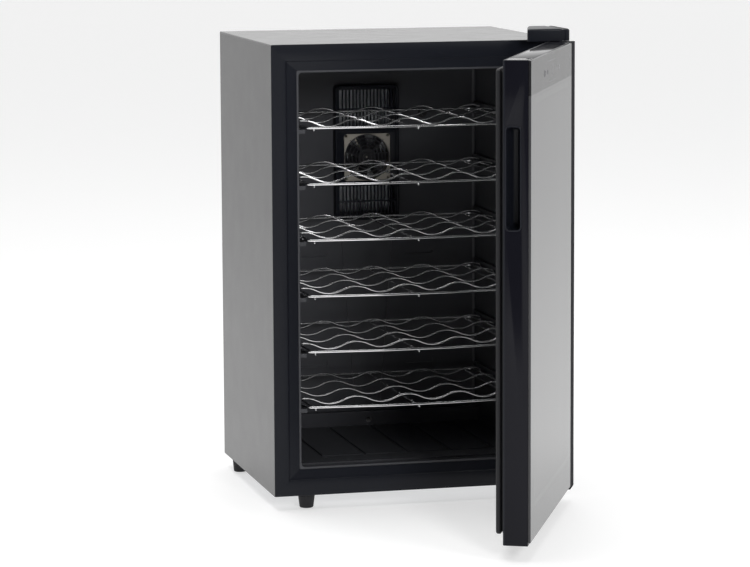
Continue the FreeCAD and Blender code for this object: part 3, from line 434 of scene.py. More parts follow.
def build_dust(name):
    """A light film of dust on faces that look up."""
    tree, given, result = group_tree(
        name, [("NodeSocketColor", "Colour", (0.5, 0.5, 0.5, 1)),
               ("NodeSocketFloat", "Amount", 0.1)],
        [("NodeSocketColor", "Colour"), ("NodeSocketFloat", "Mask")])
    normal = add(tree, "ShaderNodeNewGeometry").outputs["Normal"]
    upward = add(tree, "ShaderNodeSeparateXYZ", {}, {0: normal}).outputs["Z"]
    facing = add(tree, "ShaderNodeMapRange", {}, {0: upward, 1: 0.6, 2: 1.0}).outputs[0]
    flecks = add(tree, "ShaderNodeTexNoise", {}, {"Vector": object_place(tree), "Scale": 60.0,
                                                  "Detail": 8.0, "Roughness": 0.7})
    film = calc(tree, "MULTIPLY", facing, flecks.outputs["Fac"])
    mask = calc(tree, "MULTIPLY", film, given.outputs["Amount"])
    dusty = add(tree, "ShaderNodeMix", {"data_type": "RGBA"},
                {0: mask, 6: given.outputs["Colour"], 7: (0.36, 0.35, 0.33, 1)})
    tree.links.new(dusty.outputs[2], result.inputs["Colour"])
    tree.links.new(mask, result.inputs["Mask"])
    return tree


def use_group(tree, name, build, values):
    made = tree.nodes.new("ShaderNodeGroup")
    made.node_tree = get_group(name, build)
    for key, value in values.items():
        if isinstance(value, bpy.types.NodeSocket):
            tree.links.new(value, made.inputs[key])
        else:
            made.inputs[key].default_value = value
    return made


def bare_material(name):
    material = bpy.data.materials.new(name)
    material.use_nodes = True
    return material, material.node_tree, material.node_tree.nodes["Principled BSDF"]


def wear(tree, shader, colour, roughness, amount, spread, scale):
    """Feeds a shader a colour and a roughness that both drift across the surface."""
    tone = use_group(tree, "Tone drift", build_drift,
                     {"Colour": colour, "Amount": amount, "Roughness": roughness,
                      "Spread": spread, "Scale": scale})
    tree.links.new(tone.outputs["Colour"], shader.inputs["Base Color"])
    tree.links.new(tone.outputs["Roughness"], shader.inputs["Roughness"])


def finish(name, base, roughness, metallic=0.0, specular=0.5, drift=0.2, spread=0.08, scale=6.0,
           grain=900.0, coarse=0.3, depth=0.00002, dust=0.0):
    """A surface with drifting tone and roughness, grain in relief and perhaps some dust."""
    material, tree, shader = bare_material(name)
    tone = use_group(tree, "Tone drift", build_drift,
                     {"Colour": (*base, 1), "Amount": drift, "Roughness": roughness,
                      "Spread": spread, "Scale": scale})
    shown = tone.outputs["Colour"]
    if dust:
        shown = use_group(tree, "Settled dust", build_dust,
                          {"Colour": shown, "Amount": dust}).outputs["Colour"]
    tree.links.new(shown, shader.inputs["Base Color"])
    tree.links.new(tone.outputs["Roughness"], shader.inputs["Roughness"])
    shader.inputs["Metallic"].default_value = metallic
    shader.inputs["Specular IOR Level"].default_value = specular
    if depth:
        relief = use_group(tree, "Surface grain", build_grain, {"Scale": grain, "Coarse": coarse})
        bump = add(tree, "ShaderNodeBump", {}, {"Strength": 0.6, "Distance": depth,
                                                "Height": relief.outputs["Height"]})
        tree.links.new(bump.outputs[0], shader.inputs["Normal"])
    return material


def material(name):
    """One of the finishes by name, made when it is first asked for."""
    return bpy.data.materials.get(name) or FINISHES[name](name)


def swatches():
    return bpy.context.scene.cooler_colours


def powder_coat(name):
    return finish(name, swatches().steel, 0.22, specular=0.2, grain=1400.0, coarse=0.5,
                  depth=0.00003, dust=0.05)


def moulded_black(name):
    return finish(name, swatches().moulding, 0.36, specular=0.2, grain=1100.0, depth=0.00002)


def liner_black(name):
    return finish(name, swatches().liner, 0.36, specular=0.4, grain=700.0, coarse=0.5,
                  depth=0.00003)


def door_profile(name):
    return finish(name, swatches().profile, 0.14, specular=0.14, grain=1500.0, depth=0.00001)


def matt_profile(name):
    return finish(name, swatches().profile, 0.75, specular=0.08, grain=1500.0, depth=0.00003)


def soft_rubber(name):
    return finish(name, swatches().rubber, 0.62, specular=0.3, grain=800.0, depth=0.00003,
                  dust=0.1)


def chrome_plate(name):
    return finish(name, swatches().chrome, 0.10, metallic=1.0, drift=0.12, spread=0.10,
                  scale=40.0, grain=500.0, depth=0.00001)


def zinc_sheet(name):
    """Galvanised sheet with a faint spangle."""
    made, tree, shader = bare_material(name)
    cells = add(tree, "ShaderNodeTexVoronoi", {}, {"Vector": object_place(tree), "Scale": 110.0})
    shade = add(tree, "ShaderNodeValToRGB", {}, {0: cells.outputs["Color"]})
    shade.color_ramp.elements[0].color = (0.46, 0.47, 0.49, 1)
    shade.color_ramp.elements[1].color = (0.62, 0.63, 0.65, 1)
    wear(tree, shader, shade.outputs[0], 0.38, amount=0.1, spread=0.2, scale=9.0)
    shader.inputs["Metallic"].default_value = 1.0
    return made


def milled_aluminium(name):
    return finish(name, (0.70, 0.71, 0.73), 0.32, metallic=1.0, drift=0.1, spread=0.15,
                  scale=30.0, grain=2200.0, depth=0.00001)


def plated_steel(name):
    return finish(name, (0.55, 0.55, 0.57), 0.28, metallic=1.0, drift=0.2, spread=0.15,
                  scale=60.0, grain=900.0, depth=0.00001)


BAND_HEIGHT = 50.0


def mirror_pane(name):
    """Half-mirror outer pane, darker where the control band is printed behind it."""
    made, tree, shader = bare_material(name)
    top = corners("top_rail")[1].z * MM
    height = add(tree, "ShaderNodeSeparateXYZ", {}, {0: object_place(tree)}).outputs["Z"]
    band = calc(tree, "GREATER_THAN", height, top - BAND_HEIGHT * MM)
    tone = add(tree, "ShaderNodeMix", {"data_type": "RGBA"},
               {0: band, 6: (*swatches().glass, 1), 7: (0.02, 0.02, 0.022, 1)})
    blur = add(tree, "ShaderNodeMix", {}, {0: band, 2: 0.06, 3: 0.20}).outputs[0]
    wear(tree, shader, tone.outputs[2], blur, amount=0.10, spread=0.05, scale=3.0)
    shader.inputs["Metallic"].default_value = 0.04
    shader.inputs["Specular IOR Level"].default_value = 0.1
    shader.inputs["Transmission Weight"].default_value = 0.25
    shader.inputs["IOR"].default_value = 1.5
    return made


def guard_wire(name):
    return finish(name, (0.035, 0.035, 0.04), 0.3, specular=0.5, grain=900.0, depth=0.00001)


def clear_pane(name):
    made, tree, shader = bare_material(name)
    wear(tree, shader, (0.86, 0.90, 0.89, 1), 0.03, amount=0.03, spread=0.03, scale=5.0)
    shader.inputs["Transmission Weight"].default_value = 1.0
    shader.inputs["IOR"].default_value = 1.5
    return made


def pale_foam(name):
    return finish(name, (0.72, 0.62, 0.38), 0.8, specular=0.2, drift=0.3, grain=260.0,
                  coarse=0.5, depth=0.0003)


def fan_black(name):
    return finish(name, (0.014, 0.014, 0.016), 0.42, grain=1600.0, depth=0.00001)


def fan_frame_beige(name):
    return finish(name, (0.33, 0.31, 0.27), 0.42, grain=1600.0, depth=0.00001)


def white_plastic(name):
    return finish(name, (0.75, 0.75, 0.74), 0.38, drift=0.06, grain=1200.0, depth=0.00001)


def grey_plastic(name):
    return finish(name, (0.24, 0.24, 0.25), 0.48, grain=900.0, depth=0.00002, dust=0.15)


def ceramic_white(name):
    return finish(name, (0.78, 0.77, 0.72), 0.55, drift=0.08, grain=1500.0, depth=0.00001)


def magnet_black(name):
    return finish(name, (0.03, 0.03, 0.03), 0.6, grain=600.0)


def circuit_green(name):
    """Solder mask with a hint of the tracks beneath it."""
    made, tree, shader = bare_material(name)
    tracks = add(tree, "ShaderNodeTexBrick", {}, {
        "Vector": object_place(tree), "Scale": 90.0, "Mortar Size": 0.03,
        "Color1": (0.008, 0.085, 0.035, 1), "Color2": (0.010, 0.105, 0.045, 1),
        "Mortar": (0.03, 0.20, 0.09, 1)})
    wear(tree, shader, tracks.outputs["Color"], 0.35, amount=0.2, spread=0.1, scale=20.0)
    return made


def display_black(name):
    return finish(name, (0.012, 0.012, 0.018), 0.15, drift=0.1, grain=900.0, depth=0.0)


def printed_mark(name):
    return finish(name, (0.20, 0.20, 0.21), 0.4, drift=0.08, grain=900.0, depth=0.0)


def lamp_lens(name):
    """Frosted, half-clear cover of the lamp."""
    made, tree, shader = bare_material(name)
    wear(tree, shader, (0.86, 0.90, 0.94, 1), 0.5, amount=0.06, spread=0.1, scale=30.0)
    shader.inputs["Transmission Weight"].default_value = 0.4
    return made


FINISHES = {
    "Powder coat": powder_coat, "Moulded black": moulded_black, "Liner black": liner_black,
    "Door profile": door_profile, "Soft rubber": soft_rubber, "Chrome plate": chrome_plate,
    "Zinc sheet": zinc_sheet, "Milled aluminium": milled_aluminium,
    "Plated steel": plated_steel, "Mirror pane": mirror_pane, "Clear pane": clear_pane,
    "Guard wire": guard_wire, "Matt profile": matt_profile,
    "Pale foam": pale_foam, "Fan black": fan_black, "Fan frame beige": fan_frame_beige,
    "White plastic": white_plastic, "Grey plastic": grey_plastic,
    "Ceramic white": ceramic_white, "Magnet black": magnet_black,
    "Circuit green": circuit_green, "Display black": display_black,
    "Printed mark": printed_mark, "Lamp lens": lamp_lens,
}

# CAD nodes that wear each finish, apart from the shelves
FINISH_NODES = {
    "Powder coat": ("outer_wrap",),
    "Zinc sheet": ("base_pan", "rear_panel", "top_hinge_bracket", "bottom_hinge_bracket"),
    "Moulded black": ("front_frame", "rear_grilles", "fan_cover", "rear_cover", "hinge_cover",
        "door_trim", "grip_cup"),
    "Pale foam": ("insulation_foam",),
    "Liner black": ("inner_liner", "left_shelf_runners", "right_shelf_runners"),
    "Fan black": ("fan_guard", "inner_fan_rotor", "rear_fan_housing", "rear_fan_rotor",
        "rear_fan_guard", "temperature_sensor"),
    "Fan frame beige": ("inner_fan_housing",),
    "Milled aluminium": ("cold_heatsink", "spacer_block", "hot_heatsink", "pane_spacer"),
    "Ceramic white": ("peltier_module",),
    "Circuit green": ("power_board", "touch_board"),
    "Soft rubber": ("cord_gland", "rear_feet", "leveller_left", "leveller_right", "door_gasket"),
    "Grey plastic": ("drip_tray", "drain_tube", "hinge_bushes"),
    "White plastic": ("light_bar",),
    "Lamp lens": ("light_lens",),
    "Plated steel": ("leveller_nuts", "top_hinge_pin", "bottom_hinge_pin", "hinge_screws",
        "rear_screws"),
    "Mirror pane": ("door_glass",),
    "Clear pane": ("inner_glass",),
    "Door profile": ("free_stile", "hinge_stile", "top_rail", "bottom_rail"),
    "Magnet black": ("gasket_magnets",),
    "Display black": ("display_module",),
}
NODE_FINISHES = {node: name for name, nodes in FINISH_NODES.items() for node in nodes}


class COOLER_OT_base_finishes(bpy.types.Operator):
    """Give every CAD node its finish"""
    bl_idname = "cooler.base_finishes"
    bl_label = "Base finishes"

    def execute(self, context):
        for node, obj in NODES.items():
            wanted = "Chrome plate" if node.startswith("shelf_") else NODE_FINISHES[node]
            obj.data.materials.clear()
            obj.data.materials.append(material(wanted))
        return {"FINISHED"}


# Shelf wires, in millimetres
ROD_RADIUS = 2.0
WIRE_RADIUS = 1.5
ROD_CORNER = 14.0
BOW_ANGLE = 8.0
WAVE_OVERHANG = 1.3
WAVE_TROUGH = -1.0
WAVE_COUNT = 4
FRONT_SETBACK = 27.5
CROSS_FROM_SIDE = 15.0
SIDE_BEAD = (2.0, 2.3, 1.7)
END_BEAD = (1.9, 2.2, 1.5)
MIDDLE_BEAD = (1.7, 1.7, 1.3)


def wave_places(sizes):
    """Distance of each bottle wire behind the cabinet's front, in millimetres."""
    return [(sizes.wave_first + i * sizes.wave_step) / MM for i in range(WAVE_COUNT)]


class COOLER_OT_shelves(bpy.types.Operator):
    """Bend and weld the wires of the six shelves"""
    bl_idname = "cooler.shelves"
    bl_label = "Wire shelves"

    def execute(self, context):
        sizes = context.scene.cooler_sizes
        for body in [b for b in BODIES if b.startswith("shelf_")]:
            low, high = corners(body)
            bm = bmesh.new()
            plan = self.plan(low, high)
            self.frame_rod(bm, plan, sizes.wire_sides)
            for y in wave_places(sizes):
                self.wave(bm, plan, y, sizes)
            self.cross_wires(bm, plan, sizes)
            finish_piece(body + "_wires", bm, body, "chrome_wire", material("Chrome plate"),
                         (body,), sharp=60)
        return {"FINISHED"}

    def plan(self, low, high):
        """Key places of a shelf, worked out from its node's box."""
        half = high.x - ROD_RADIUS - WAVE_OVERHANG
        level = low.z + 2 * WIRE_RADIUS + ROD_RADIUS
        corner_y = low.y + FRONT_SETBACK
        dip = math.radians(BOW_ANGLE)
        end_x = half - ROD_CORNER + ROD_CORNER * math.sin(dip)
        return {"half": half, "level": level, "corner_y": corner_y, "dip": dip,
                "bow": end_x / math.sin(dip), "back": high.y - WAVE_OVERHANG - 2 * WIRE_RADIUS + 1.0}

    def frame_rod(self, bm, plan, sides):
        """One closed rod: sides, rear and a front that bows forward."""
        half, corner_y, dip = plan["half"], plan["corner_y"], plan["dip"]
        middle = (corner_y + plan["back"]) / 2
        side = plan["back"] - ROD_CORNER - corner_y
        quarter = math.pi / 2
        moves = [middle - corner_y, (ROD_CORNER, quarter - dip, Z_AXIS),
                 (plan["bow"], 2 * dip, Z_AXIS), (ROD_CORNER, quarter - dip, Z_AXIS),
                 side, (ROD_CORNER, quarter, Z_AXIS), 2 * (half - ROD_CORNER),
                 (ROD_CORNER, quarter, Z_AXIS), plan["back"] - ROD_CORNER - middle]
        add_wire(bm, (-half, middle, plan["level"]), (0, -1, 0), ROD_RADIUS, moves, sides)

    def wave(self, bm, plan, y, sizes):
        """A wavy wire of equal arcs from side rod to side rod."""
        half = plan["half"]
        quarter = sizes.wave_pitch / MM / 4
        rise = sizes.wave_height / MM / 2
        bend = (quarter ** 2 + rise ** 2) / (2 * rise)
        middle = plan["level"] + WAVE_TROUGH + rise
        shift = -sizes.wave_shift / MM
        count = int(half // (2 * quarter)) + 2
        moves = []
        start = None
        for i in range(-count, count + 1):
            centre = shift + 2 * quarter * i
            first = max(centre - quarter, -half)
            last = min(centre + quarter, half)
            if last - first < 0.01:
                continue
            up = 1 if i % 2 == 0 else -1
            from_angle = math.asin((first - centre) / bend)
            to_angle = math.asin((last - centre) / bend)
            if start is None:
                lift = bend * math.cos(from_angle) - (bend - rise)
                start = (first, y, middle + up * lift)
                heading = (math.cos(from_angle), 0, -up * math.sin(from_angle))
            moves.append((bend, up * (to_angle - from_angle), Y_AXIS))
        add_wire(bm, start, heading, WIRE_RADIUS, moves, sizes.wire_sides)
        for side in (-1, 1):
            put_bead(bm, (side * (half - 0.4), y, plan["level"] + 1.2), SIDE_BEAD)

    def cross_wires(self, bm, plan, sizes):
        """Straight wires under the rods, with a blob of weld at each end."""
        dip = plan["dip"]
        under = plan["level"] - ROD_RADIUS - WIRE_RADIUS
        reach = plan["half"] - CROSS_FROM_SIDE
        edge_y = plan["corner_y"] - ROD_CORNER * math.cos(dip)
        for x in (-reach, 0, reach):
            front = edge_y - (plan["bow"] * (1 - math.cos(dip)) if x == 0 else 0)
            reach_back = plan["back"] - front + 2
            add_wire(bm, (x, front - 1, under), (0, 1, 0), WIRE_RADIUS, [reach_back], sizes.wire_sides)
            for y in (front + 0.6, plan["back"] - 0.4):
                put_bead(bm, (x, y, under + 1.6), END_BEAD)
        for y in wave_places(sizes):
            put_bead(bm, (0, y, under + 1.4), MIDDLE_BEAD)


# Width of the proud band at the sides, foot and top, and its height over the inner band
BAND = (22.5, 24.6, 25.0)
BAND_STEP = 2.5


class COOLER_OT_front_frame(bpy.types.Operator):
    """Mould the front frame with its proud and recessed bands"""
    bl_idname = "cooler.front_frame"
    bl_label = "Front frame"

    def execute(self, context):
        low, high = corners("front_frame")
        lip, depth = low.y, high.y
        outer = (low.x, low.z, high.x, high.z)
        side, bottom, top = BAND
        step = (low.x + side, low.z + bottom, high.x - side, high.z - top)
        liner_low, liner_high = corners("inner_liner")
        mouth = (liner_low.x, liner_low.z, liner_high.x, liner_high.z)
        front = [(outer, 2.0, lip + 2.0), (outer, 2.0, lip + 0.9),
                 (grown(outer, -0.3), 1.8, lip + 0.26), (grown(outer, -0.9), 1.5, lip)]
        bands = [(grown(step, 0.8), 1.4, lip), (grown(step, 0.25), 1.2, lip + 0.15),
                 (step, 1.0, lip + 0.7), (grown(step, -1.7), 1.0, lip + 2.2),
                 (grown(step, -2.6), 0.8, lip + BAND_STEP)]
        opening = [(grown(mouth, 1.2), 2.4, lip + BAND_STEP),
                   (grown(mouth, 0.35), 2.2, lip + BAND_STEP + 0.35),
                   (mouth, 2.0, lip + BAND_STEP + 1.2), (mouth, 2.0, depth)]
        inside = grown(outer, -1.0)
        back = [(inside, 1.4, depth), (inside, 1.4, lip + 2.0)]
        bm = skin("y", front + bands + opening + back, closed=True)
        finish_piece("front_frame_moulding", bm, "cabinet", "black_moulding",
                     material("Moulded black"), ("front_frame",), sharp=50)
        return {"FINISHED"}


# Plain margin beside the ribs, and gaps between them
RIB_MARGIN = 3.2
RIB_GAPS = 16


class COOLER_OT_fan_cover(bpy.types.Operator):
    """Build the slotted cover on the back wall and the wire guard before the fan"""
    bl_idname = "cooler.fan_cover"
    bl_label = "Fan cover"

    def execute(self, context):
        low, high = corners("fan_cover")
        fan_low, fan_high = corners("inner_fan_housing")
        face = low.y + 1.0
        outer = (low.x, low.z, high.x, high.z)
        rim = [(outer, 7.0, high.y), (outer, 7.0, face + 1.0),
               (grown(outer, -0.3), 6.7, face + 0.3), (grown(outer, -1.0), 6.0, face),
               (grown(outer, -3.2), 4.5, face), (grown(outer, -3.7), 4.2, face + 0.3),
               (grown(outer, -3.9), 4.0, face + 2.0), (grown(outer, -3.9), 4.0, high.y)]
        bm = skin("y", rim, closed=True)
        plate = face + 1.2
        left, right = low.x + 3.5, high.x - 3.5
        fan_bars = (fan_low.z - 4.0, fan_high.z + 4.0)
        for z in fan_bars:
            put_box(bm, (left, face - 0.9, z - 1.6), (right, face + 2.4, z + 1.6), 0.7, 3)
        for bottom, top in ((low.z + 3.5, fan_bars[0]), (fan_bars[1], high.z - 3.5)):
            self.grille(bm, left, right, bottom, top, plate)
        finish_piece("fan_cover_moulding", bm, "cabinet", "black_moulding",
                     material("Moulded black"), ("fan_cover",), sharp=50)
        self.surround(fan_low, fan_high, plate, left, right, fan_bars)
        self.guard(fan_low, fan_high, plate)
        return {"FINISHED"}

    def grille(self, bm, left, right, bottom, top, plate):
        """Upright ribs between two side margins, crossed by three bars."""
        for x0, x1 in ((left, left + RIB_MARGIN), (right - RIB_MARGIN, right)):
            put_box(bm, (x0, plate, bottom), (x1, plate + 1.6, top))
        middle = (bottom + top) / 2
        for z in (bottom + 1.5, middle, top - 1.5):
            put_box(bm, (left, plate, z - 1.5), (right, plate + 1.6, z + 1.5), 0.3, 2)
        pitch = (right - left - 2 * RIB_MARGIN) / RIB_GAPS
        for i in range(1, RIB_GAPS):
            x = left + RIB_MARGIN + i * pitch
            put_box(bm, (x - 1.3, plate + 0.1, bottom), (x + 1.3, plate + 1.9, top), 0.4, 2)

    def surround(self, fan_low, fan_high, plate, left, right, fan_bars):
        """Plate round the fan with a square opening that shows the fan's frame."""
        hole = grown((fan_low.x, fan_low.z, fan_high.x, fan_high.z), -1.5)
        edge = (left, fan_bars[0], right, fan_bars[1])
        bm = skin("y", [(edge, 0.5, plate), (grown(hole, 0.6), 5.4, plate),
                        (grown(hole, 0.1), 5.1, plate + 0.3), (hole, 5.0, plate + 0.9),
                        (hole, 5.0, plate + 1.6), (edge, 0.5, plate + 1.6)], closed=True)
        finish_piece("fan_surround", bm, "cabinet", "black_moulding", material("Moulded black"))

    def guard(self, fan_low, fan_high, plate):
        """Rings of round wire on four spokes, as a finger guard."""
        bm = bmesh.new()
        x, z = (fan_low.x + fan_high.x) / 2, (fan_low.z + fan_high.z) / 2
        y = plate + 1.8
        reach = (fan_high.x - fan_low.x) / 2 - 3.0
        for share in (1.0, 0.84, 0.68, 0.52, 0.36, 0.2):
            wire_ring(bm, (x, y, z), Y_AXIS, reach * share, 0.8)
        for turn in range(4):
            angle = math.radians(45 + 90 * turn)
            way = Vector((math.cos(angle), 0, math.sin(angle)))
            add_wire(bm, Vector((x, y + 1.0, z)) + way * reach * 0.2, way, 0.9,
                     [reach * 0.86], 8)
        finish_piece("fan_finger_guard", bm, "cabinet", "fan_plastic", material("Guard wire"),
                     ("fan_guard",), sharp=60)


class COOLER_OT_door_glass(bpy.types.Operator):
    """Cut the mirror pane with ground edges and print the touch symbols on it"""
    bl_idname = "cooler.door_glass"
    bl_label = "Door glass"

    def execute(self, context):
        low, high = closed_corners("door_glass")
        rect = (low.x, low.z, high.x, high.z)
        bm = skin("y", [(grown(rect, -0.7), 1.0, high.y), (rect, 1.2, high.y - 0.7),
                        (rect, 1.2, low.y + 0.7), (grown(rect, -0.7), 1.0, low.y)])
        door_piece("door_glass_pane", bm, "mirror_glass", "Mirror pane", ("door_glass",), sharp=25)
        low_inner, high_inner = closed_corners("inner_glass")
        rect = (low_inner.x, low_inner.z, high_inner.x, high_inner.z)
        bm = skin("y", [(grown(rect, -0.6), 0.8, high_inner.y), (rect, 1.0, high_inner.y - 0.6),
                        (rect, 1.0, low_inner.y + 0.6), (grown(rect, -0.6), 0.8, low_inner.y)])
        door_piece("inner_glass_pane", bm, "clear_glass", "Clear pane", ("inner_glass",), sharp=25)
        self.symbols(low, high)
        return {"FINISHED"}

    def symbols(self, low, high):
        """Touch keys: power, lamp, up, down and a two-digit reading."""
        bm = bmesh.new()
        middle = (low.x + high.x) / 2
        level = high.z - MARK_DROP
        face = low.y - MARK_RELIEF
        back = low.y + MARK_RELIEF
        self.ring(bm, middle - 75, level, 5.0, face)
        put_box(bm, (middle - 75.5, face, level + 1), (middle - 74.5, back, level + 6.5))
        self.ring(bm, middle - 48, level, 3.2, face)
        for turn in range(8):
            angle = turn * math.pi / 4
            x = middle - 48 + 5.4 * math.cos(angle)
            z = level + 5.4 * math.sin(angle)
            put_box(bm, (x - 0.6, face, z - 0.6), (x + 0.6, back, z + 0.6))
        for x, turn in ((middle + 48, 0), (middle + 75, math.pi)):
            self.arrow(bm, x, level, turn, face)
        for x, digit in ((middle - 9, "1"), (middle + 5, "2")):
            self.digit(bm, x, level, SEGMENTS[digit], face, back)
        for side in (-1, 1):
            z = level + side * 15.0
            put_box(bm, (middle - 40, face, z - 0.3), (middle + 40, back, z + 0.3))
        door_piece("touch_symbols", bm, "display_black", "Printed mark")

    def ring(self, bm, x, z, radius, face):
        wire_ring(bm, (x, face + MARK_RELIEF, z), Y_AXIS, radius, 0.45, 6, 28)

    def arrow(self, bm, x, z, turn, face):
        part = bmesh.new()
        bmesh.ops.create_circle(part, cap_ends=True, radius=5.0, segments=3)
        made = bmesh.ops.extrude_face_region(part, geom=part.faces[:])["geom"]
        up = [g for g in made if isinstance(g, bmesh.types.BMVert)]
        bmesh.ops.translate(part, vec=(0, 0, MARK_RELIEF * 2), verts=up)
        bmesh.ops.rotate(part, cent=(0, 0, 0), matrix=Matrix.Rotation(turn, 3, "Z"),
                         verts=part.verts)
        bmesh.ops.transform(part, matrix=PLANES["y"], verts=part.verts)
        bmesh.ops.translate(part, vec=(x, face, z), verts=part.verts)
        merge_in(bm, part)

    def digit(self, bm, x, z, lit, face, back):
        """One seven-segment digit, 9 wide and 16 high."""
        for name in lit:
            cx, cz, wide, tall = SEGMENT_PLACES[name]
            put_box(bm, (x + cx - wide / 2, face, z + cz - tall / 2),
                    (x + cx + wide / 2, back, z + cz + tall / 2))


MARK_DROP = 27.0
MARK_RELIEF = 0.06
SEGMENTS = {"1": "bc", "2": "abged"}
SEGMENT_PLACES = {"a": (0, 7, 7, 1.2), "b": (4, 3.5, 1.2, 6), "c": (4, -3.5, 1.2, 6),
                  "d": (0, -7, 7, 1.2), "e": (-4, -3.5, 1.2, 6), "f": (-4, 3.5, 1.2, 6),
                  "g": (0, 0, 7, 1.2)}


class COOLER_OT_door_frame(bpy.types.Operator):
    """Round the edges of the door's profiles and mould its trim, seal and grip"""
    bl_idname = "cooler.door_frame"
    bl_label = "Door frame"

    def execute(self, context):
        for node in ("free_stile", "top_rail", "bottom_rail"):
            refined(node, "Door profile", 0.5)
        refined("hinge_stile", "Matt profile", 0.5)
        self.trim()
        self.seal()
        self.grip()
        return {"FINISHED"}

    def trim(self):
        low, high = closed_corners("door_trim")
        pane_low, pane_high = closed_corners("inner_glass")
        outer = (low.x, low.z, high.x, high.z)
        hole = grown((pane_low.x, pane_low.z, pane_high.x, pane_high.z), -9.0)
        edge = high.y
        bm = skin("y", [(outer, 1.0, edge - 3.0), (outer, 1.0, edge - 0.8),
                        (grown(outer, -0.8), 0.8, edge), (grown(hole, 3.0), 5.0, edge),
                        (grown(hole, 0.8), 4.0, edge - 0.7), (hole, 3.5, edge - 3.0),
                        (hole, 3.5, pane_high.y + 0.1), (grown(hole, 6.0), 3.5, pane_high.y + 0.1),
                        (grown(hole, 6.0), 3.5, edge - 3.0)], closed=True)
        door_piece("door_trim_moulding", bm, "black_moulding", "Moulded black", ("door_trim",),
                   sharp=50)

    def seal(self):
        """Bellows of the magnetic seal, drawn as one profile run round the door."""
        low, high = closed_corners("door_gasket")
        rect = (low.x, low.z, high.x, high.z)
        foot = low.y
        width = 14.0
        half = [(0.0, 0.0), (0.0, 1.8), (1.2, 2.6), (3.6, 3.2), (4.2, 4.0), (3.4, 4.9),
                (1.0, 5.6), (0.2, 6.4), (0.0, 8.6), (0.3, 10.8), (1.2, 12.0), (2.6, 12.5)]
        profile = half + [(width - x, y) for x, y in reversed(half)]
        bm = skin("y", [(grown(rect, -inset), max(6.0 - inset, 0.6), foot + rise)
                        for inset, rise in profile], closed=True)
        door_piece("door_seal", bm, "rubber_black", "Soft rubber", ("door_gasket",), sharp=60)

    def grip(self):
        """Finger recess: a raised rim, then walls that sweep round into the bottom."""
        low, high = closed_corners("grip_cup")
        rect = (low.y, low.z, high.y, high.z)
        edge = low.x
        sections = [(grown(rect, -1.0), 6.0, high.x), (rect, 7.0, high.x - 1.5),
                    (rect, 7.0, edge + 0.9), (grown(rect, -0.25), 6.8, edge + 0.25),
                    (grown(rect, -0.8), 6.2, edge), (grown(rect, -1.5), 5.6, edge),
                    (grown(rect, -2.0), 5.2, edge + 0.3), (grown(rect, -2.2), 5.0, edge + 1.2)]
        deep = high.x - 2.0 - edge
        for step in range(1, 9):
            turn = step / 8 * math.pi / 2
            inset = 2.2 + 7.0 * (1 - math.cos(turn))
            sections.append((grown(rect, -inset), max(5.0 - inset * 0.4, 1.2),
                             edge + 1.2 + (deep - 1.2) * math.sin(turn)))
        bm = skin("x", sections)
        door_piece("grip_moulding", bm, "black_moulding", "Moulded black", ("grip_cup",), sharp=50)


# How far the cover's left side moves in towards the back
COVER_TAPER = 27.0


class COOLER_OT_hinge_cover(bpy.types.Operator):
    """Mould the hinge cover with its seam and end cap"""
    bl_idname = "cooler.hinge_cover"
    bl_label = "Hinge cover"

    def execute(self, context):
        low, high = corners("hinge_cover")
        seam = high.x - 11.0
        bm = bmesh.new()
        for left, right, drop, taper in ((low.x, seam, 0.0, COVER_TAPER),
                                         (seam + 0.7, high.x, 0.2, 0.0)):
            merge_in(bm, self.shell((left, low.y + drop, right, high.y - drop), low.z,
                                    high.z - drop, taper))
        put_box(bm, (seam - 3, low.y + 1.4, low.z + 1), (seam + 3, high.y - 1.4, high.z - 1.6))
        finish_piece("hinge_cover_moulding", bm, "cabinet", "black_moulding",
                     material("Moulded black"), ("hinge_cover",), sharp=50)
        return {"FINISHED"}

    def shell(self, rect, bottom, top, taper):
        """A cap with softly rounded upper edges, open underneath."""
        inner = grown(rect, -1.5)
        inside = [(inner, 3.4, bottom, taper), (inner, 3.4, top - 4.0, taper),
                  (grown(inner, -2.0), 3.0, top - 1.8, taper)]
        outside = [(rect, 4.8, bottom, taper), (rect, 4.8, top - 3.6, taper)]
        for step in range(1, 6):
            turn = step / 5 * math.pi / 2
            inset = 3.6 * (1 - math.cos(turn))
            outside.append((grown(rect, -inset), 4.8 - inset * 0.5,
                            top - 3.6 + 3.6 * math.sin(turn), taper))
        return skin("z", list(reversed(inside)) + outside)


FOOT_HEIGHT = 22.0


